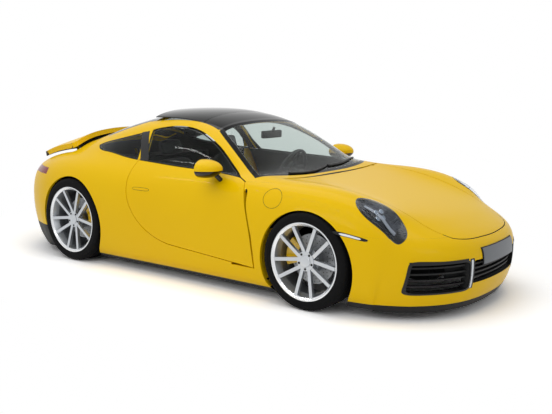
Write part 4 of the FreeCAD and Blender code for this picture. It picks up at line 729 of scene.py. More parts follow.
def fan(outline, inner=0.0, outer=1.0, rings=6):
    """Rings of an outline drawn in: point = centre + (outline - centre) r, r from outer to inner."""
    outline = np.asarray(outline, float)
    middle = outline[:-1].mean(0)
    grid = middle + (outline - middle)[None] * np.linspace(outer, inner, rings)[:, None, None]
    return grid[..., 0], grid[..., 1]


def spaced(half_width, count):
    """A row of evenly spaced places from one side of a middle line to the other."""
    return half_width * np.linspace(-1, 1, count)[None]


def oval(a, b, half_a, half_b, power=2.0, count=48):
    """Closed superellipse outline: |x / half_a| ** power + |y / half_b| ** power = 1."""
    turn = np.linspace(0, 2 * np.pi, count + 1)
    x = np.sign(np.cos(turn)) * np.abs(np.cos(turn)) ** (2 / power)
    y = np.sign(np.sin(turn)) * np.abs(np.sin(turn)) ** (2 / power)
    return np.stack([a + half_a * x, b + half_b * y], 1)


def evened(loop, count):
    """The same closed outline with its points at even steps along it."""
    run = np.concatenate([[0], np.cumsum(np.linalg.norm(np.diff(loop, axis=0), axis=1))])
    steps = np.linspace(0, run[-1], count + 1)
    return np.stack([np.interp(steps, run, loop[:, k]) for k in range(loop.shape[1])], 1)


def smooth_loop(points, count):
    """Closed outline through a few corners: Catmull - Rom spans, cubic between each two points."""
    p1 = np.asarray(points, float)[:, None]
    p0, p2, p3 = [np.roll(p1, shift, 0) for shift in (1, -1, -2)]
    t = np.linspace(0, 1, count // len(points), endpoint=False)[None, :, None]
    loop = 0.5 * (2 * p1 + (p2 - p0) * t + (2 * p0 - 5 * p1 + 4 * p2 - p3) * t ** 2
                  + (3 * p1 - p0 - 3 * p2 + p3) * t ** 3)
    loop = loop.reshape(-1, 2)
    return np.concatenate([loop, loop[:1]])


print("an oval's first points", oval(0.0, 0.0, 1.0, 0.5)[:3])

# %% [markdown]
# Handles, side markers, the black covers of the pillars and the fuel flap's line are such plates.
# The fuel flap's line is a dark ring, painted shade of its gap. A handle lies flush in a dark ring,
# painted shade of the gap round it, and crowns a little towards its middle, as a pressed one does,
# so its lift grows from ring to ring.

# %% Handles, side markers, pillar covers, fuel flap and roof strips
SIDES = (("left", 1, "l"), ("right", -1, "r"))
HANDLE_X, HANDLE_Z = -0.352, 0.697
COVER_LOW_Z, COVER_HIGH_Z, COVER_DROP = 0.9050, 1.1330, 0.014
MARKER_LINE = [(1.470, 0.578), (1.510, 0.583), (1.600, 0.572), (1.700, 0.552), (1.715, 0.541),
               (1.690, 0.536), (1.590, 0.551), (1.500, 0.562)]
for side, way, letter in SIDES:
    # Black cover of the pillar between door glass and quarter glass
    share = np.linspace(0, 1, 8)[None]
    z = COVER_LOW_Z + (COVER_HIGH_Z - COVER_LOW_Z - COVER_DROP * share) * np.linspace(0, 1, 24)[:, None]
    front_x = -0.4000 - 0.6593 * (z - 0.902)
    back_x = -0.5040 - 0.6456 * (z - 0.908)
    x = front_x + (back_x - front_x) * share
    plate("pillar_cover_" + letter, side, x, z, gloss_black, lift=0.0012, depth=0.002)
    # Flush door handle with a dark ring round it, painted shade of the gap round the handle
    x, z = fan(oval(HANDLE_X, HANDLE_Z, 0.093, 0.0125, 3.0), rings=4)
    plate("handle_gap_shade_" + letter, side, x, z, cavity_and_gap_shade, "door_" + side, wrap="fan",
          lift=0.0006, depth=0.002)
    x, z = fan(oval(HANDLE_X, HANDLE_Z, 0.090, 0.0100, 3.0), rings=6)
    crown = 0.0035 * np.linspace(0.3, 1, 6)[:, None]
    plate("handle_" + letter, side, x, z, paint, "door_" + side, wrap="fan", lift=crown,
          depth=0.003)
    # Side marker in a black slot behind the headlamp
    x, z = fan(smooth_loop(MARKER_LINE, 64), rings=5)
    plate("marker_slot_" + letter, side, x, z, gloss_black, wrap="fan", lift=0.0008,
          depth=0.003)
    x, z = fan(smooth_loop(MARKER_LINE, 64), outer=0.62, rings=4)
    plate("marker_lens_" + letter, side, x, z, chrome, wrap="fan", lift=0.0022, depth=0.002)
# Round fuel flap in the right front fender, its gap a dark ring on the skin: painted shade
x, z = fan(oval(0.952, 0.742, 0.081, 0.066), inner=0.965, rings=2)
plate("fuel_flap_gap_shade", "right", x, z, cavity_and_gap_shade, wrap="ring", lift=0.0004, depth=0.002)
# Black strips between windscreen and roof panel, and between sunroof and rear window
y = spaced(0.515, 60)
bow = 1 - (y / 0.53) ** 2
back, front = 0.156 + 0.018 * bow, 0.176 + 0.026 * bow
x = front + (back - front) * np.linspace(0, 1, 4)[:, None]
plate("roof_strip_front", "top", x, y, gloss_black, lift=0.0008, depth=0.002)
y = spaced(0.445, 50)
front, back = -0.603 - 0.02 * (1 - (y / 0.452) ** 2), -0.674
x = front + (back - front) * np.linspace(0, 1, 8)[:, None]
plate("roof_strip_rear", "top", x, y, gloss_black, lift=0.0006, depth=0.002)

# %% [markdown]
# A headlamp is a deep dark bowl behind a clear cover that follows the fender. In the bowl stand
# four small projectors in silver frames over a wide blade. Cover, black border, bowl, projectors and
# blade are pieces of their own, because each is another material on the real lamp.

# %% Headlamps
LAMP_LINE = [(1.560, 0.735), (1.590, 0.690), (1.655, 0.640), (1.745, 0.622), (1.830, 0.632), (1.890, 0.668),
             (1.908, 0.715), (1.880, 0.765), (1.800, 0.800), (1.700, 0.822), (1.610, 0.810), (1.568, 0.778)]
LAMP_MIDDLE = np.array((1.745, 0.722))
LAMP_TONGUE_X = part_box("headlamps")[1][0] - 0.056
BORDER_OUTER, BORDER_INNER = 0.998, 0.90
BOWL_EDGE, BOWL_DEPTH, BOWL_RINGS = 0.006, 0.046, 16
PROJECTOR_DEPTH, PROJECTOR_APART, PROJECTOR_RISE, LENS_RADIUS = 0.036, 0.027, 0.021, 0.0145
# Turned profiles as (radius, height) pairs
PROJECTOR_FRAME = [(0.0135, -0.006), (0.0165, -0.006), (0.0178, 0.004), (0.0165, 0.0065), (0.0150, 0.004)]
PROJECTOR_DOME = [(0.0, -0.004), (LENS_RADIUS, -0.004)] + [
    (LENS_RADIUS * math.cos(t), 0.010 * math.sin(t)) for t in np.linspace(0.1, 1.45, 8)] + [(0.0, 0.010)]
PROJECTOR_PARTS = (("frame", PROJECTOR_FRAME, chrome), ("lens", PROJECTOR_DOME, projector_glass))


def revolved(name, profile, centre, axis, material, body="root", sides=96):
    """Closed turned piece: point = centre + axis h + (side cos a + other sin a) r for each profile (r, h)."""
    profile = np.asarray(profile, float)
    axis = np.asarray(axis, float) / np.linalg.norm(axis)
    side = np.cross(axis, UP if abs(axis[2]) < 0.9 else (1.0, 0, 0))
    side /= np.linalg.norm(side)
    other = np.cross(axis, side)
    turn = np.linspace(0, 2 * np.pi, sides, endpoint=False)
    ring = side[None] * np.cos(turn)[:, None] + other[None] * np.sin(turn)[:, None]
    points = np.asarray(centre) + profile[:, 1, None, None] * axis + profile[:, 0, None, None] * ring[None]
    number = np.arange(len(profile) * sides).reshape(len(profile), sides)
    beside = np.roll(number, -1, 1)
    quads = np.stack([number, beside, np.roll(beside, -1, 0), np.roll(number, -1, 0)], -1).reshape(-1, 4)
    return closed_up(new_mesh(name, points.reshape(-1, 3), quads, [material], body))


def lamp_frame(way):
    """Middle of a lamp on the skin, its outward direction and two directions across it."""
    place, normal = seen("top", LAMP_MIDDLE[0], way * LAMP_MIDDLE[1])
    aim = normal[0] + np.array((0.55, -0.10 * way, -0.25))
    aim /= np.linalg.norm(aim)
    level = np.cross(aim, UP)
    level /= np.linalg.norm(level)
    return place[0], aim, level, np.cross(level, aim)


for side, way, letter in SIDES:
    outline = smooth_loop(LAMP_LINE, 96) * (1, way)
    x, y = fan(outline, rings=9)
    lens = plate("lamp_cover_" + letter, "top", x, y, lens_clear, wrap="fan", lift=0.0026,
                 depth=0.002)
    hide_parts("headlamps")
    # The border is wide at the front end, where the bumper's corner passes under the cover
    reach_x = np.maximum(outline[:, 0] - LAMP_MIDDLE[0], 1e-6)
    inner = np.minimum(BORDER_INNER, (LAMP_TONGUE_X - LAMP_MIDDLE[0]) / reach_x)
    share = BORDER_OUTER + (inner - BORDER_OUTER)[None] * np.linspace(0, 1, 8)[:, None]
    middle = outline[:-1].mean(0)
    x, y = [middle[k] + (outline[:, k] - middle[k])[None] * share for k in (0, 1)]
    plate("lamp_border_" + letter, "top", x, y, gloss_black, wrap="ring", lift=0.0005,
          depth=0.0012)
    x, y = fan(outline, outer=0.985, rings=BOWL_RINGS)
    drop = -BOWL_EDGE - BOWL_DEPTH * (1 - np.linspace(0, 1, BOWL_RINGS)[::-1] ** 2.2)[:, None]
    plate("lamp_bowl_" + letter, "top", x, y, bowl_finish, wrap="fan", lift=drop, depth=0.002)
    middle, aim, level, rise = lamp_frame(way)
    base = middle - PROJECTOR_DEPTH * aim
    for number, (right, up) in enumerate(((-1, 1), (1, 1), (-1, -1), (1, -1))):
        centre = base + PROJECTOR_APART * right * level + PROJECTOR_RISE * up * rise
        for part, profile, material in PROJECTOR_PARTS:
            revolved(f"projector_{part}_{letter}{number}", profile, centre, aim, material,
                     sides=48)
    x = LAMP_MIDDLE[0] + spaced(0.13, 40)
    y = way * (LAMP_MIDDLE[1] + 0.006 - 0.05 * spaced(0.13, 40)) + spaced(0.012, 5).T
    plate("lamp_blade_" + letter, "top", x, y, blade_finish, lift=-0.030, depth=0.004)

# %% [markdown]
# The nose has two wide intakes with blades. On the real one a black frame, a blade and a pillar cover
# are separate mouldings, and a silver upright stands on each cover beside the blank number plate. The
# frame is a rounded square whose two parameters are blended over the intake's four corners.

# %% Blades, frames, uprights and plate of the nose
INTAKE_CORNERS = np.array([(0.385, 0.205), (0.748, 0.203), (0.738, 0.408), (0.392, 0.392)])
PLATE_HALF, HOLDER_HALF = 0.255, 0.262


def intake_ring(grow):
    """Outline s, t of a rounded square on the corners: (1-s)(1-t) c0 + s(1-t) c1 + s t c2 + (1-s) t c3."""
    square = oval(0.5, 0.5, 0.497 + 0.035 * grow, 0.495 + 0.062 * grow, 9.0, 480)
    s, t = evened(square, 160).T[:, :, None]
    low_in, low_out, high_out, high_in = INTAKE_CORNERS
    low = (1 - s) * (1 - t) * low_in + s * (1 - t) * low_out
    return low + s * t * high_out + (1 - s) * t * high_in


frame_rows = np.stack([intake_ring(grow) for grow in np.linspace(0, 1, 5)])
for side, way, letter in SIDES:
    y = way * np.linspace(0.405, 0.745, 40)[None]
    z = 0.402 + spaced(0.010, 5).T
    plate("intake_blade_" + letter, "front", y, z, gloss_black, lift=0.004, depth=0.030)
    plate("intake_frame_" + letter, "front", way * frame_rows[..., 0], frame_rows[..., 1], gloss_black,
          wrap="ring", lift=0.0025, depth=0.006)
    z = np.linspace(0.206, 0.408, 24)[:, None]
    y = way * (0.3685 + spaced(0.0205, 8))
    plate("nose_pillar_" + letter, "front", y, z, gloss_black, lift=0.0012, depth=0.003)
    z = np.linspace(0.212, 0.400, 24)[:, None]
    y = way * (0.371 + spaced(0.009, 6))
    plate("nose_upright_" + letter, "front", y, z, silver, lift=0.0025, depth=0.004)
# Blank number plate on a thin black holder, both bowed with the nose
z = np.linspace(0.348, 0.464, 12)[:, None]
plate("plate_holder", "front", spaced(HOLDER_HALF, 40), z, trim, lift=0.006, depth=0.006)
z = np.linspace(0.354, 0.458, 12)[:, None]
plate("plate_blank", "front", spaced(PLATE_HALF, 40), z, plate_finish, lift=0.0095,
      depth=0.003)
print("intake frame has", frame_rows.shape[0], "rings of", frame_rows.shape[1] - 1)

# %% [markdown]
# The tail has a blank number plate in a black field, a black outlet at each corner, and slats on
# the engine lid. The slats are plates on the lid's body, so that they swing up with it. The wipers
# are two thin plates as well, laid along the lower edge of the windscreen.

# %% Tail and wipers
SLATS = 18
WIPER_ENDS = (((0.775, 0.10), (0.690, 0.62)), ((0.800, -0.46), (0.775, 0.07)))
z = np.linspace(0.455, 0.605, 12)[:, None]
plate("rear_plate_field", "back", spaced(0.285, 40), z, gloss_black, lift=0.0012, depth=0.004)
z = np.linspace(0.475, 0.585, 12)[:, None]
plate("rear_plate_blank", "back", spaced(PLATE_HALF, 40), z, plate_finish, lift=0.0045,
      depth=0.003)
for side, way, letter in SIDES:
    y, z = fan(evened(oval(0.715, 0.375, 0.026, 0.085, 4.0, 200), 60) * (way, 1), rings=5)
    plate("tail_outlet_" + letter, "back", y, z, gloss_black, wrap="fan", lift=0.001,
          depth=0.003)
lid_low, lid_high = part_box("rear_lid")
x = np.linspace(lid_low[0] + 0.030, lid_high[0] - 0.022, 10)[:, None]
for number in range(SLATS):
    y = -0.42 + 0.84 * (number + 0.5) / SLATS + spaced(0.006, 4)
    plate(f"lid_slat_{number:02d}", "top", x, y, gloss_black, "lid_rear", lift=0.0032,
          depth=0.0042)
along = np.linspace(0, 1, 40)[:, None]
for number, (start, end) in enumerate(WIPER_ENDS):
    width = (0.009 - 0.004 * along) * spaced(1.0, 4)
    x = start[0] + (end[0] - start[0]) * along + 0.03 * np.sin(np.pi * along) + width
    y = start[1] + (end[1] - start[1]) * along
    plate(f"wiper_{number}", "top", x, y, trim, lift=0.011, depth=0.0105)
print("slats between x", lid_low[0], "and", lid_high[0])

# %% [markdown]
# A tyre is one profile turned about its axle. Grooves run round the tread, and shallow slots across
# its shoulders are pressed in by a wave of the turning angle, so one grid holds the whole tread.

# %% Tyres
# Middle of each wheel, tyre radius, tyre width, rim radius, seat of the hub and the way out
WHEELS = {
    "fl": ((1.240, 0.788, 0.340), 0.340, 0.245, 0.271, 0.0525, 1),
    "fr": ((1.240, -0.788, 0.340), 0.340, 0.245, 0.271, 0.0525, -1),
    "rl": ((-1.210, 0.766, 0.358), 0.358, 0.300, 0.284, 0.080, 1),
    "rr": ((-1.210, -0.766, 0.358), 0.358, 0.300, 0.284, 0.080, -1),
}
TYRE_STEPS, WALL_STEPS, CROWN_STEPS = 216, 26, 60
GROOVES, GROOVE_DEPTH, GROOVE_HALF = (-0.60, -0.20, 0.20, 0.60), 0.006, 0.0042
SHOULDER_SLOTS, SLOT_DEPTH, SLOT_LEAN = 54, 0.0035, 6.0
# The side wall from bead to tread: how far inside the tyre's face, and beyond the rim or below the tread
BEAD_WALL = [(0.008, 0.0010), (0.0040, 0.006), (0.0010, 0.013), (0.0005, 0.016), (0.0022, 0.0185),
             (0.0010, 0.028)]
TREAD_WALL = [(0.0012, 0.030), (0.0050, 0.018), (0.0120, 0.0085), (0.0220, 0.0032), (0.036, 0.0012)]


def tyre(corner):
    """Ring r(y, a): side wall and crown by their (y, r) points, less grooves at set y and slots at set a."""
    centre, radius, width, rim, _, _ = WHEELS[corner]
    half = width / 2
    wall = np.array([(half - inset, rim + rise) for inset, rise in BEAD_WALL]
                    + [(half - inset, radius - drop) for inset, drop in TREAD_WALL])
    run = np.concatenate([[0], np.cumsum(np.hypot(*np.diff(wall, axis=0).T))])
    fine = np.linspace(0, run[-1], WALL_STEPS)
    wall_y, wall_r = np.interp(fine, run, wall[:, 0]), np.interp(fine, run, wall[:, 1])
    y = np.concatenate([wall_y, np.linspace(half - 0.037, -half + 0.037, CROWN_STEPS), -wall_y[::-1]])
    r = np.concatenate([wall_r, np.full(CROWN_STEPS, radius), wall_r[::-1]])
    crown = np.abs(y) < half - 0.0365
    r[crown] = radius - 0.0012 * (y[crown] / (half - 0.036)) ** 4
    for place in GROOVES:
        r -= GROOVE_DEPTH * np.exp(-((y - place * (half - 0.03)) / GROOVE_HALF) ** 6)
    turn = np.linspace(0, 2 * np.pi, TYRE_STEPS, endpoint=False)[:, None]
    shoulder = np.exp(-((np.abs(y) - half * 0.86) / (half * 0.16)) ** 6) * (r > radius - 0.03)
    wave = np.clip(np.cos(turn * SHOULDER_SLOTS + SLOT_LEAN * y / half) * 4 - 2.6, 0, 1)
    depth = r - SLOT_DEPTH * shoulder * wave
    # The bore closes the ring on the rim's seat
    y = np.concatenate([y, [-half + 0.012, half - 0.012]])
    depth = np.concatenate([depth, np.full((TYRE_STEPS, 2), 1.004 * rim)], 1)
    y = np.broadcast_to(y, depth.shape)
    points = np.stack([depth * np.sin(turn), y, -depth * np.cos(turn)], -1) + np.array(centre)
    number = np.arange(depth.size).reshape(depth.shape)
    ahead, beside = np.roll(number, -1, 0), np.roll(number, -1, 1)
    quads = np.stack([number, ahead, np.roll(ahead, -1, 1), beside], -1).reshape(-1, 4)
    body = body_of["tyre_" + corner]
    piece = closed_up(new_mesh("tread_" + corner, points.reshape(-1, 3), quads, [rubber], body))
    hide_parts("tyre_" + corner)
    print(piece.name, len(quads), "faces")


# %% [markdown]
# A wheel's small parts turn with it: a plain cap on the hub, five bolts in their recesses and a
# bright turned lip. They are turned pieces, profiles carried round an axis. The brake disc's drilled
# holes are short dark cylinders let into its face, painted shade where real holes are dark inside,
# which is cheaper than holes and looks the same.

# %% Wheel caps, bolts, lips and the painted shade of the discs' drilled holes
CAP = [(0.0, 0.0005), (0.0400, 0.0005), (0.0405, 0.0030), (0.0380, 0.0055), (0.030, 0.0068), (0.0, 0.0080)]
BOLT = [(0.0, -0.002), (0.0085, -0.002), (0.0085, 0.0015), (0.0070, 0.0035), (0.0045, 0.0035),
        (0.0040, 0.0005), (0.0, 0.0005)]
LIP = [(0.0215, -0.012), (0.0090, -0.0008), (0.0012, -0.0008), (0.0006, 0.0004), (0.0090, 0.0006),
       (0.0225, -0.0105)]
BOLTS, BOLT_CIRCLE = 5, 0.0545
HOLE_ROWS, HOLES, HOLE_SIDES, HOLE_RADIUS, HOLE_RISE = (0.118, 0.138, 0.158), 24, 12, 0.0036, 0.0004


def circle(radius, angle):
    """Points at a radius about a level axle: (r sin a, 0, r cos a)."""
    return radius * np.stack([np.sin(angle), 0 * angle, np.cos(angle)], -1)


def wheel_details(corner):
    """Centre cap, five bolts and bright lip on a wheel."""
    centre, _, width, rim, seat, way = WHEELS[corner]
    body = body_of["rim_" + corner]
    axis = (0, way, 0)
    face = np.array(centre) + (0, way * (seat + 0.0345), 0)
    revolved("wheel_cap_" + corner, CAP, face, axis, silver, body)
    edge = np.array(centre) + (0, way * (width / 2 - 0.008), 0)
    lip = [(rim - inset, height) for inset, height in LIP]
    revolved("wheel_lip_" + corner, lip, edge, axis, polished, body, sides=144)
    for number in range(BOLTS):
        place = face + circle(BOLT_CIRCLE, 2 * np.pi * (number + 0.5) / BOLTS)
        revolved(f"wheel_bolt_{corner}{number}", BOLT, place, axis, trim, body, sides=24)


def disc_hole_shade(corner):
    """Closed cylinders in rows round the disc: point = disc + circle(row, a) + circle(hole, b) + rise."""
    centre, _, _, _, seat, way = WHEELS[corner]
    disc_face = np.array(centre) + (0, way * (seat - 0.064), 0)
    around = circle(HOLE_RADIUS, np.arange(HOLE_SIDES) * 2 * np.pi / HOLE_SIDES)
    ends = np.array([(0, way * HOLE_RISE, 0), (0, -way * HOLE_RISE, 0)])[:, None]
    places = [circle(row, np.arange(HOLES) * 2 * np.pi / HOLES + number * 0.09)
              for number, row in enumerate(HOLE_ROWS)]
    points = disc_face + np.concatenate(places)[:, None, None] + ends + around
    number = np.arange(points.size // 3).reshape(points.shape[:3])
    beside = np.roll(number, -1, 2)
    walls = np.stack([number[:, 0], beside[:, 0], beside[:, 1], number[:, 1]], -1).reshape(-1, 4)
    faces = walls.tolist() + number[:, 0].tolist() + number[:, 1, ::-1].tolist()
    # Dark cylinders: painted shade where real drilled holes are dark inside
    closed_up(new_mesh("disc_hole_shade_" + corner, points.reshape(-1, 3), faces, [cavity_and_gap_shade],
                       body_of["rim_" + corner], smooth=False))


for corner in WHEELS:
    tyre(corner)
    wheel_details(corner)
    disc_hole_shade(corner)
print("holes in each disc", len(HOLE_ROWS) * HOLES)

# %% [markdown]
# A door mirror is a painted cap over a black foot, with the glass in its rear face. The packed
# shape is right, so its mesh is only cut at the parting line, where the real mouldings meet, and
# each part takes its own finish.

# %% Mirrors
PARTING_Z = 0.904
GLASS_BEHIND_X = 0.38


def mirror(node):
    """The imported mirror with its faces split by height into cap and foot, and the rear face silvered."""
    points, triangles = cut_through(*merged(node), [((0, 0, PARTING_Z), UP)])
    centres, normals = points[triangles].mean(1), face_normals(points, triangles)
    kind = np.where(centres[:, 2] > PARTING_Z, 0, 1)
    kind[(normals[:, 0] < -0.9) & (centres[:, 0] < GLASS_BEHIND_X)] = 2
    materials = [paint, gloss_black, chrome]
    piece = new_mesh("cap_" + node, points, triangles, materials, body_of[node], kind)
    piece.data.set_sharp_from_angle(angle=math.radians(40))
    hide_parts(node)
    print(piece.name, len(triangles), "triangles,", int((kind == 2).sum()), "of them glass")


mirror("mirror_l")
mirror("mirror_r")

# %% [markdown]
# The seats are foam under leather: a cushion and a backrest with raised sides, and a head
# restraint. Each pad is a closed form carried along a spine, and Blender's cloth then swells it with
# a little pressure, which rounds the leather between its seams as foam does. Each corner's way is
# capped, so that no pad grows into its neighbour.

# %% How a pad is swelled
MOST_SWELL = 0.010
CLOTH_FRAMES, CLOTH_PRESSURE, CLOTH_TENSION = 10, 4.0, 25.0


def swelled(piece):
    """Lets the cloth swell a closed piece and keeps the new shape, each point moved by MOST_SWELL at most."""
    before = np.empty(len(piece.data.vertices) * 3)
    piece.data.vertices.foreach_get("co", before)
    cloth = piece.modifiers.new("foam", "CLOTH")
    cloth.settings.use_pressure = True
    cloth.settings.uniform_pressure_force = CLOTH_PRESSURE
    cloth.settings.effector_weights.gravity = 0.0
    cloth.settings.tension_stiffness = CLOTH_TENSION
    cloth.point_cache.frame_start, cloth.point_cache.frame_end = 1, CLOTH_FRAMES
    for frame_number in range(1, CLOTH_FRAMES + 1):
        bpy.context.scene.frame_set(frame_number)
    posed = piece.evaluated_get(bpy.context.evaluated_depsgraph_get())
    after = np.empty(len(before))
    posed.data.vertices.foreach_get("co", after)
    piece.modifiers.remove(cloth)
    bpy.context.scene.frame_set(1)
    move = (after - before).reshape(-1, 3)
    length = np.linalg.norm(move, axis=1, keepdims=True)
    points = before.reshape(-1, 3) + move * np.minimum(1, MOST_SWELL / np.maximum(length, 1e-9))
    piece.data.vertices.foreach_set("co", points.ravel())
    piece.data.polygons.foreach_set("use_smooth", np.ones(len(piece.data.polygons), bool))
    piece.data.update()
    print(piece.name, "swelled by at most", round(float(length.max()) * 1000, 1), "mm")


def rounded(piece, node):
    """Subdivides a pad once and puts it in its node's place."""
    smooth = piece.modifiers.new("smooth", "SUBSURF")
    smooth.levels = smooth.render_levels = 1
    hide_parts(node)


# %% [markdown]
# A pad's shape is one function of the way along its spine and the way round it. It is closed at both
# ends by letting its width and thickness run out, and a seam is a shallow channel across it. The
# right seat is the left one mirrored, so that both are swelled alike.

# %% The seats
PAD_ROWS, PAD_ROUND = 44, 56
SEAM_DEPTH = 0.004


def pad(name, spine, half_width, thickness, wing, seams, middle_y):
    """Closed pad: spine(s) + normal(s) h(s, a), y = w(s) cos(a) ^ 1/2, with wings and sewn channels.

    h is t(s) sin(a) ^ 2/3, plus wing where |y| / w passes 0.6 on the upper face, less 4 mm at each seam.
    """
    spine = np.asarray(spine, float)
    run = np.concatenate([[0], np.cumsum(np.hypot(*np.diff(spine, axis=0).T))])
    s = 0.5 - 0.5 * np.cos(np.linspace(0, np.pi, PAD_ROWS))
    line = np.stack([np.interp(s * run[-1], run, spine[:, k]) for k in (0, 1)], 1)
    for _ in range(6):
        line[1:-1] = 0.25 * line[:-2] + 0.5 * line[1:-1] + 0.25 * line[2:]
    slope = np.gradient(line, axis=0)
    slope /= np.linalg.norm(slope, axis=1, keepdims=True)
    rise = np.stack([-slope[:, 1], slope[:, 0]], 1)
    close = (1 - np.abs(2 * s - 1) ** 6) ** 0.35
    turn = np.linspace(0, 2 * np.pi, PAD_ROUND, endpoint=False)
    c, d = np.cos(turn), np.sin(turn)
    sideways = np.sign(c) * np.abs(c) ** 0.5
    height = np.sign(d) * np.abs(d) ** (2 / 3)
    width = (0.75 + 0.25 * close)[:, None] * sideways[None] * half_width * close[:, None] ** 0.25
    side = np.clip((np.abs(sideways) - 0.55) / 0.35, 0, 1)
    upper = np.clip(height, 0, 1) ** 0.5
    stitch = np.abs(np.cos(np.pi * s * seams)) ** 24
    lift = close[:, None] * thickness * height[None]
    lift = lift + wing * (np.sin(np.pi * s) ** 0.7)[:, None] * (side * side * (3 - 2 * side) * upper)[None]
    lift = lift - SEAM_DEPTH * stitch[:, None] * ((1 - side) * upper)[None]
    x = line[:, 0, None] + rise[:, 0, None] * lift
    z = line[:, 1, None] + rise[:, 1, None] * lift
    points = np.stack([x, middle_y + width, z], -1).reshape(-1, 3)
    number = np.arange(PAD_ROWS * PAD_ROUND).reshape(PAD_ROWS, PAD_ROUND)
    beside = np.roll(number, -1, 1)
    quads = np.stack([number[:-1], beside[:-1], beside[1:], number[1:]], -1).reshape(-1, 4)
    return closed_up(new_mesh(name, points, quads, [leather], "root"))


# Each pad's spine as (x, z) points, half width, thickness, height of its sides, seams and middle
FRONT_Y, BENCH_Y = 0.365, 0.335
SEAT_PARTS = [
    ("seat_cushion", "front_seats", [(0.110, 0.330), (0.000, 0.325), (-0.200, 0.302), (-0.330, 0.300)],
     0.215, 0.055, 0.045, 5, FRONT_Y),
    ("seat_back", "front_seats", [(-0.395, 0.400), (-0.420, 0.520), (-0.460, 0.720), (-0.505, 0.900)],
     0.210, 0.050, 0.050, 6, FRONT_Y),
    ("head_restraint", "front_seats", [(-0.505, 0.925), (-0.525, 0.990), (-0.545, 1.045)],
     0.115, 0.040, 0.006, 1, FRONT_Y),
    ("bench_cushion", "rear_seats", [(-0.905, 0.425), (-0.820, 0.430), (-0.720, 0.430)],
     0.195, 0.032, 0.012, 4, BENCH_Y),
    ("bench_back", "rear_seats", [(-0.935, 0.500), (-0.950, 0.620), (-0.965, 0.765)],
     0.195, 0.030, 0.010, 4, BENCH_Y),
]
for name, node, *form in SEAT_PARTS:
    piece = pad(name + "_l", *form)
    swelled(piece)
    twin = new_mesh(name + "_r", np.zeros((0, 3)), [], [leather], "root")
    twin.data = piece.data.copy()
    twin.data.transform(Matrix.Diagonal((1, -1, 1, 1)))
    twin.data.flip_normals()
    rounded(piece, node)
    rounded(twin, node)

# %% [markdown]
# Rims, brakes, running gear, grilles, dashboard and sunroof are right as packed. They keep their
# own mesh and only take the finish of the real piece, which costs no triangles.

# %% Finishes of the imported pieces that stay
KEPT = {
    "floor_pan": cavity_and_gap_shade, "exhaust": steel, "engine_block": cast, "rear_subframe": cast,
    "front_subframe": cast, "front_upper_arms": cast, "rear_knuckles": cast,
    "knuckle_fl": cast, "knuckle_fr": cast,
    "rear_calipers": caliper_enamel, "caliper_fl": caliper_enamel, "caliper_fr": caliper_enamel,
    "dashboard": trim, "steering_wheel": leather, "inner_mirror": trim, "front_grilles": trim,
    "sunroof": dark_glass, "luggage_tub": cavity_and_gap_shade, "front_wheel_houses": cavity_and_gap_shade,
}
for corner in WHEELS:
    KEPT.update({"rim_" + corner: silver, "disc_" + corner: iron})
for node, material in KEPT.items():
    mesh = nodes[node].data
    if not mesh.materials:
        mesh.materials.append(material)
    for index in range(len(mesh.materials)):
        mesh.materials[index] = material
print("kept", len(KEPT), "nodes")

# %% [markdown]
# The camera stands where the photographer stood, a little above the car's roof and ahead of its
# right front wheel. Its place comes from both wheel centres and the body's symmetry.

# %% Camera
IMAGE_WIDTH, FOCAL_PIXELS, SENSOR = 552, 759.42, 36.0
CAMERA_PLACE = (4.1068, -4.9935, 1.5418)
YAW, PITCH, ROLL = 0.6477, 0.1637, 0.0031
CLIP_END = 200
camera = bpy.data.objects.new("camera", bpy.data.cameras.new("camera"))
camera.data.sensor_width = SENSOR
camera.data.lens = SENSOR * FOCAL_PIXELS / IMAGE_WIDTH
camera.data.clip_end = CLIP_END
forward = Vector((-math.sin(YAW) * math.cos(PITCH), math.cos(YAW) * math.cos(PITCH), -math.sin(PITCH)))
turn = forward.to_track_quat("-Z", "Y").to_matrix().to_4x4() @ Matrix.Rotation(ROLL, 4, "Z")
camera.matrix_world = Matrix.Translation(CAMERA_PLACE) @ turn
bpy.context.scene.collection.objects.link(camera)
bpy.context.scene.camera = camera
print("focal length", round(camera.data.lens, 2), "mm")

# %% [markdown]
# The car stands on a plain white floor, as in a studio. The floor and the world look white to the
# camera, in reflections and through glass, and light the car at a plain level. Near the car the floor
# shows its shadow. Further out it turns into the white of the background.

# %% Floor and world
FLOOR_HALF = 60.0
SHADOW_REACH = (2.8, 1.5)
FADE_START, FADE_END = 0.85, 1.35
WORLD_LEVEL, WHITE = 0.36, (1.0, 1.0, 1.0, 1.0)


def seen_directly(owner):
    """1 for rays that show the piece in the picture, in a reflection or through glass, 0 for its light."""
    rays = add_node(owner, "ShaderNodeLightPath").outputs
    shown = rays["Is Camera Ray"]
    for kind in ("Is Glossy Ray", "Is Transmission Ray"):
        larger = add_node(owner, "ShaderNodeMath", links={0: shown, 1: rays[kind]}, operation="MAXIMUM")
        shown = larger.outputs[0]
    return shown


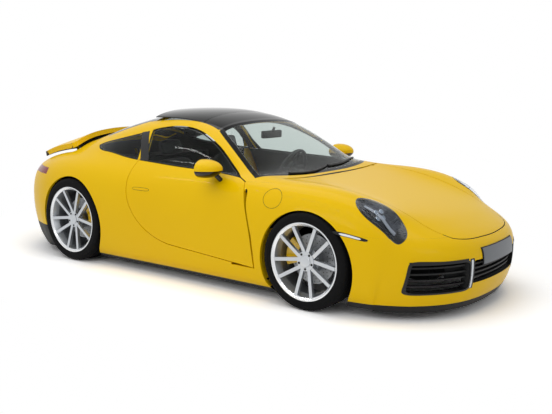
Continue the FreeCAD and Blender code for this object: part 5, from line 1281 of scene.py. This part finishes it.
floor_corners = [(x * FLOOR_HALF, y * FLOOR_HALF, 0.0) for x, y in ((-1, -1), (1, -1), (1, 1), (-1, 1))]
floor_mesh = bpy.data.meshes.new("studio_floor")
floor_mesh.from_pydata(floor_corners, [], [(0, 1, 2, 3)])
floor = bpy.data.objects.new("studio_floor", floor_mesh)
bpy.context.scene.collection.objects.link(floor)
floor_paint = finish_of("painted_studio_floor", "#f7f7f7", Roughness=0.9)
floor_mesh.materials.append(floor_paint)
floor_place = add_node(floor_paint, "ShaderNodeTexCoord").outputs["Object"]
squeeze = (1 / SHADOW_REACH[0], 1 / SHADOW_REACH[1], 1.0)
squeezed = add_node(floor_paint, "ShaderNodeVectorMath", {1: squeeze}, {0: floor_place},
                    operation="MULTIPLY")
reach = add_node(floor_paint, "ShaderNodeVectorMath", links={0: squeezed.outputs["Vector"]},
                 operation="LENGTH")
fade = add_node(floor_paint, "ShaderNodeMapRange", {"From Min": FADE_START, "From Max": FADE_END},
                {"Value": reach.outputs["Value"]}, interpolation_type="SMOOTHSTEP")
shown = seen_directly(floor_paint)
whiteness = add_node(floor_paint, "ShaderNodeMath", links={0: shown, 1: fade.outputs["Result"]},
                     operation="MULTIPLY")
brighter = add_node(floor_paint, "ShaderNodeMix", {"A": (0.93, 0.93, 0.93, 1.0), "B": (1.5, 1.5, 1.5, 1.0)},
                    {"Factor": shown}, data_type="RGBA")
into_shader(floor_paint, brighter.outputs["Result"], "Base Color")
white_light = add_node(floor_paint, "ShaderNodeEmission", {"Color": WHITE, "Strength": 1.0})
floor_nodes = floor_paint.node_tree.nodes
mixed = add_node(floor_paint, "ShaderNodeMixShader", links={
    0: whiteness.outputs[0],
    1: floor_nodes["Principled BSDF"].outputs["BSDF"],
    2: white_light.outputs["Emission"],
})
floor_paint.node_tree.links.new(mixed.outputs["Shader"], floor_nodes["Material Output"].inputs["Surface"])

world = bpy.data.worlds.new("studio")
bpy.context.scene.world = world
world.use_nodes = True
background = world.node_tree.nodes["Background"]
background.inputs["Color"].default_value = WHITE
strength = add_node(world, "ShaderNodeMapRange", {"To Min": WORLD_LEVEL, "To Max": 1.0},
                    {"Value": seen_directly(world)})
world.node_tree.links.new(strength.outputs["Result"], background.inputs["Strength"])
print("floor", 2 * FLOOR_HALF, "m across")

# %% [markdown]
# A large soft lamp overhead gives the car its shading, as a studio's light ceiling does, with a
# weaker one at its nose and one at its side. Three long narrow lamps draw thin bright lines along
# the body, which show how its curves run.

# %% Lights


def soft_light(name, place, aim, size, watts):
    """A rectangular soft light at a place, turned to a point."""
    lamp = bpy.data.lights.new(name, "AREA")
    lamp.shape = "RECTANGLE"
    lamp.size, lamp.size_y = size
    lamp.energy = watts
    light = bpy.data.objects.new(name, lamp)
    look = (Vector(aim) - Vector(place)).to_track_quat("-Z", "Y").to_matrix().to_4x4()
    light.matrix_world = Matrix.Translation(place) @ look
    bpy.context.scene.collection.objects.link(light)


TUBE_HEIGHT, TUBE_SIZE, TUBE_WATTS = 3.3, (5.0, 0.05), 13.0
soft_light("ceiling_light", place=(0.0, 0.0, 6.5), aim=(0.0, 0.0, 0.0), size=(9.0, 4.0), watts=185.0)
for number, (x, y) in enumerate(((-0.6, -2.6), (0.9, -3.4), (2.4, -4.2))):
    soft_light(f"tube_light_{number}", (x, y, TUBE_HEIGHT), (x * 0.5, 0.0, 0.6), TUBE_SIZE, TUBE_WATTS)
soft_light("front_light", place=(9.0, -3.0, 4.5), aim=(0.5, 0.0, 0.6), size=(4.0, 3.0), watts=60.0)
soft_light("side_light", place=(-2.0, -9.0, 4.0), aim=(0.0, 0.0, 0.7), size=(6.0, 2.0), watts=90.0)
bpy.context.scene.view_settings.view_transform = "Standard"
print("lights", len(bpy.data.lights))
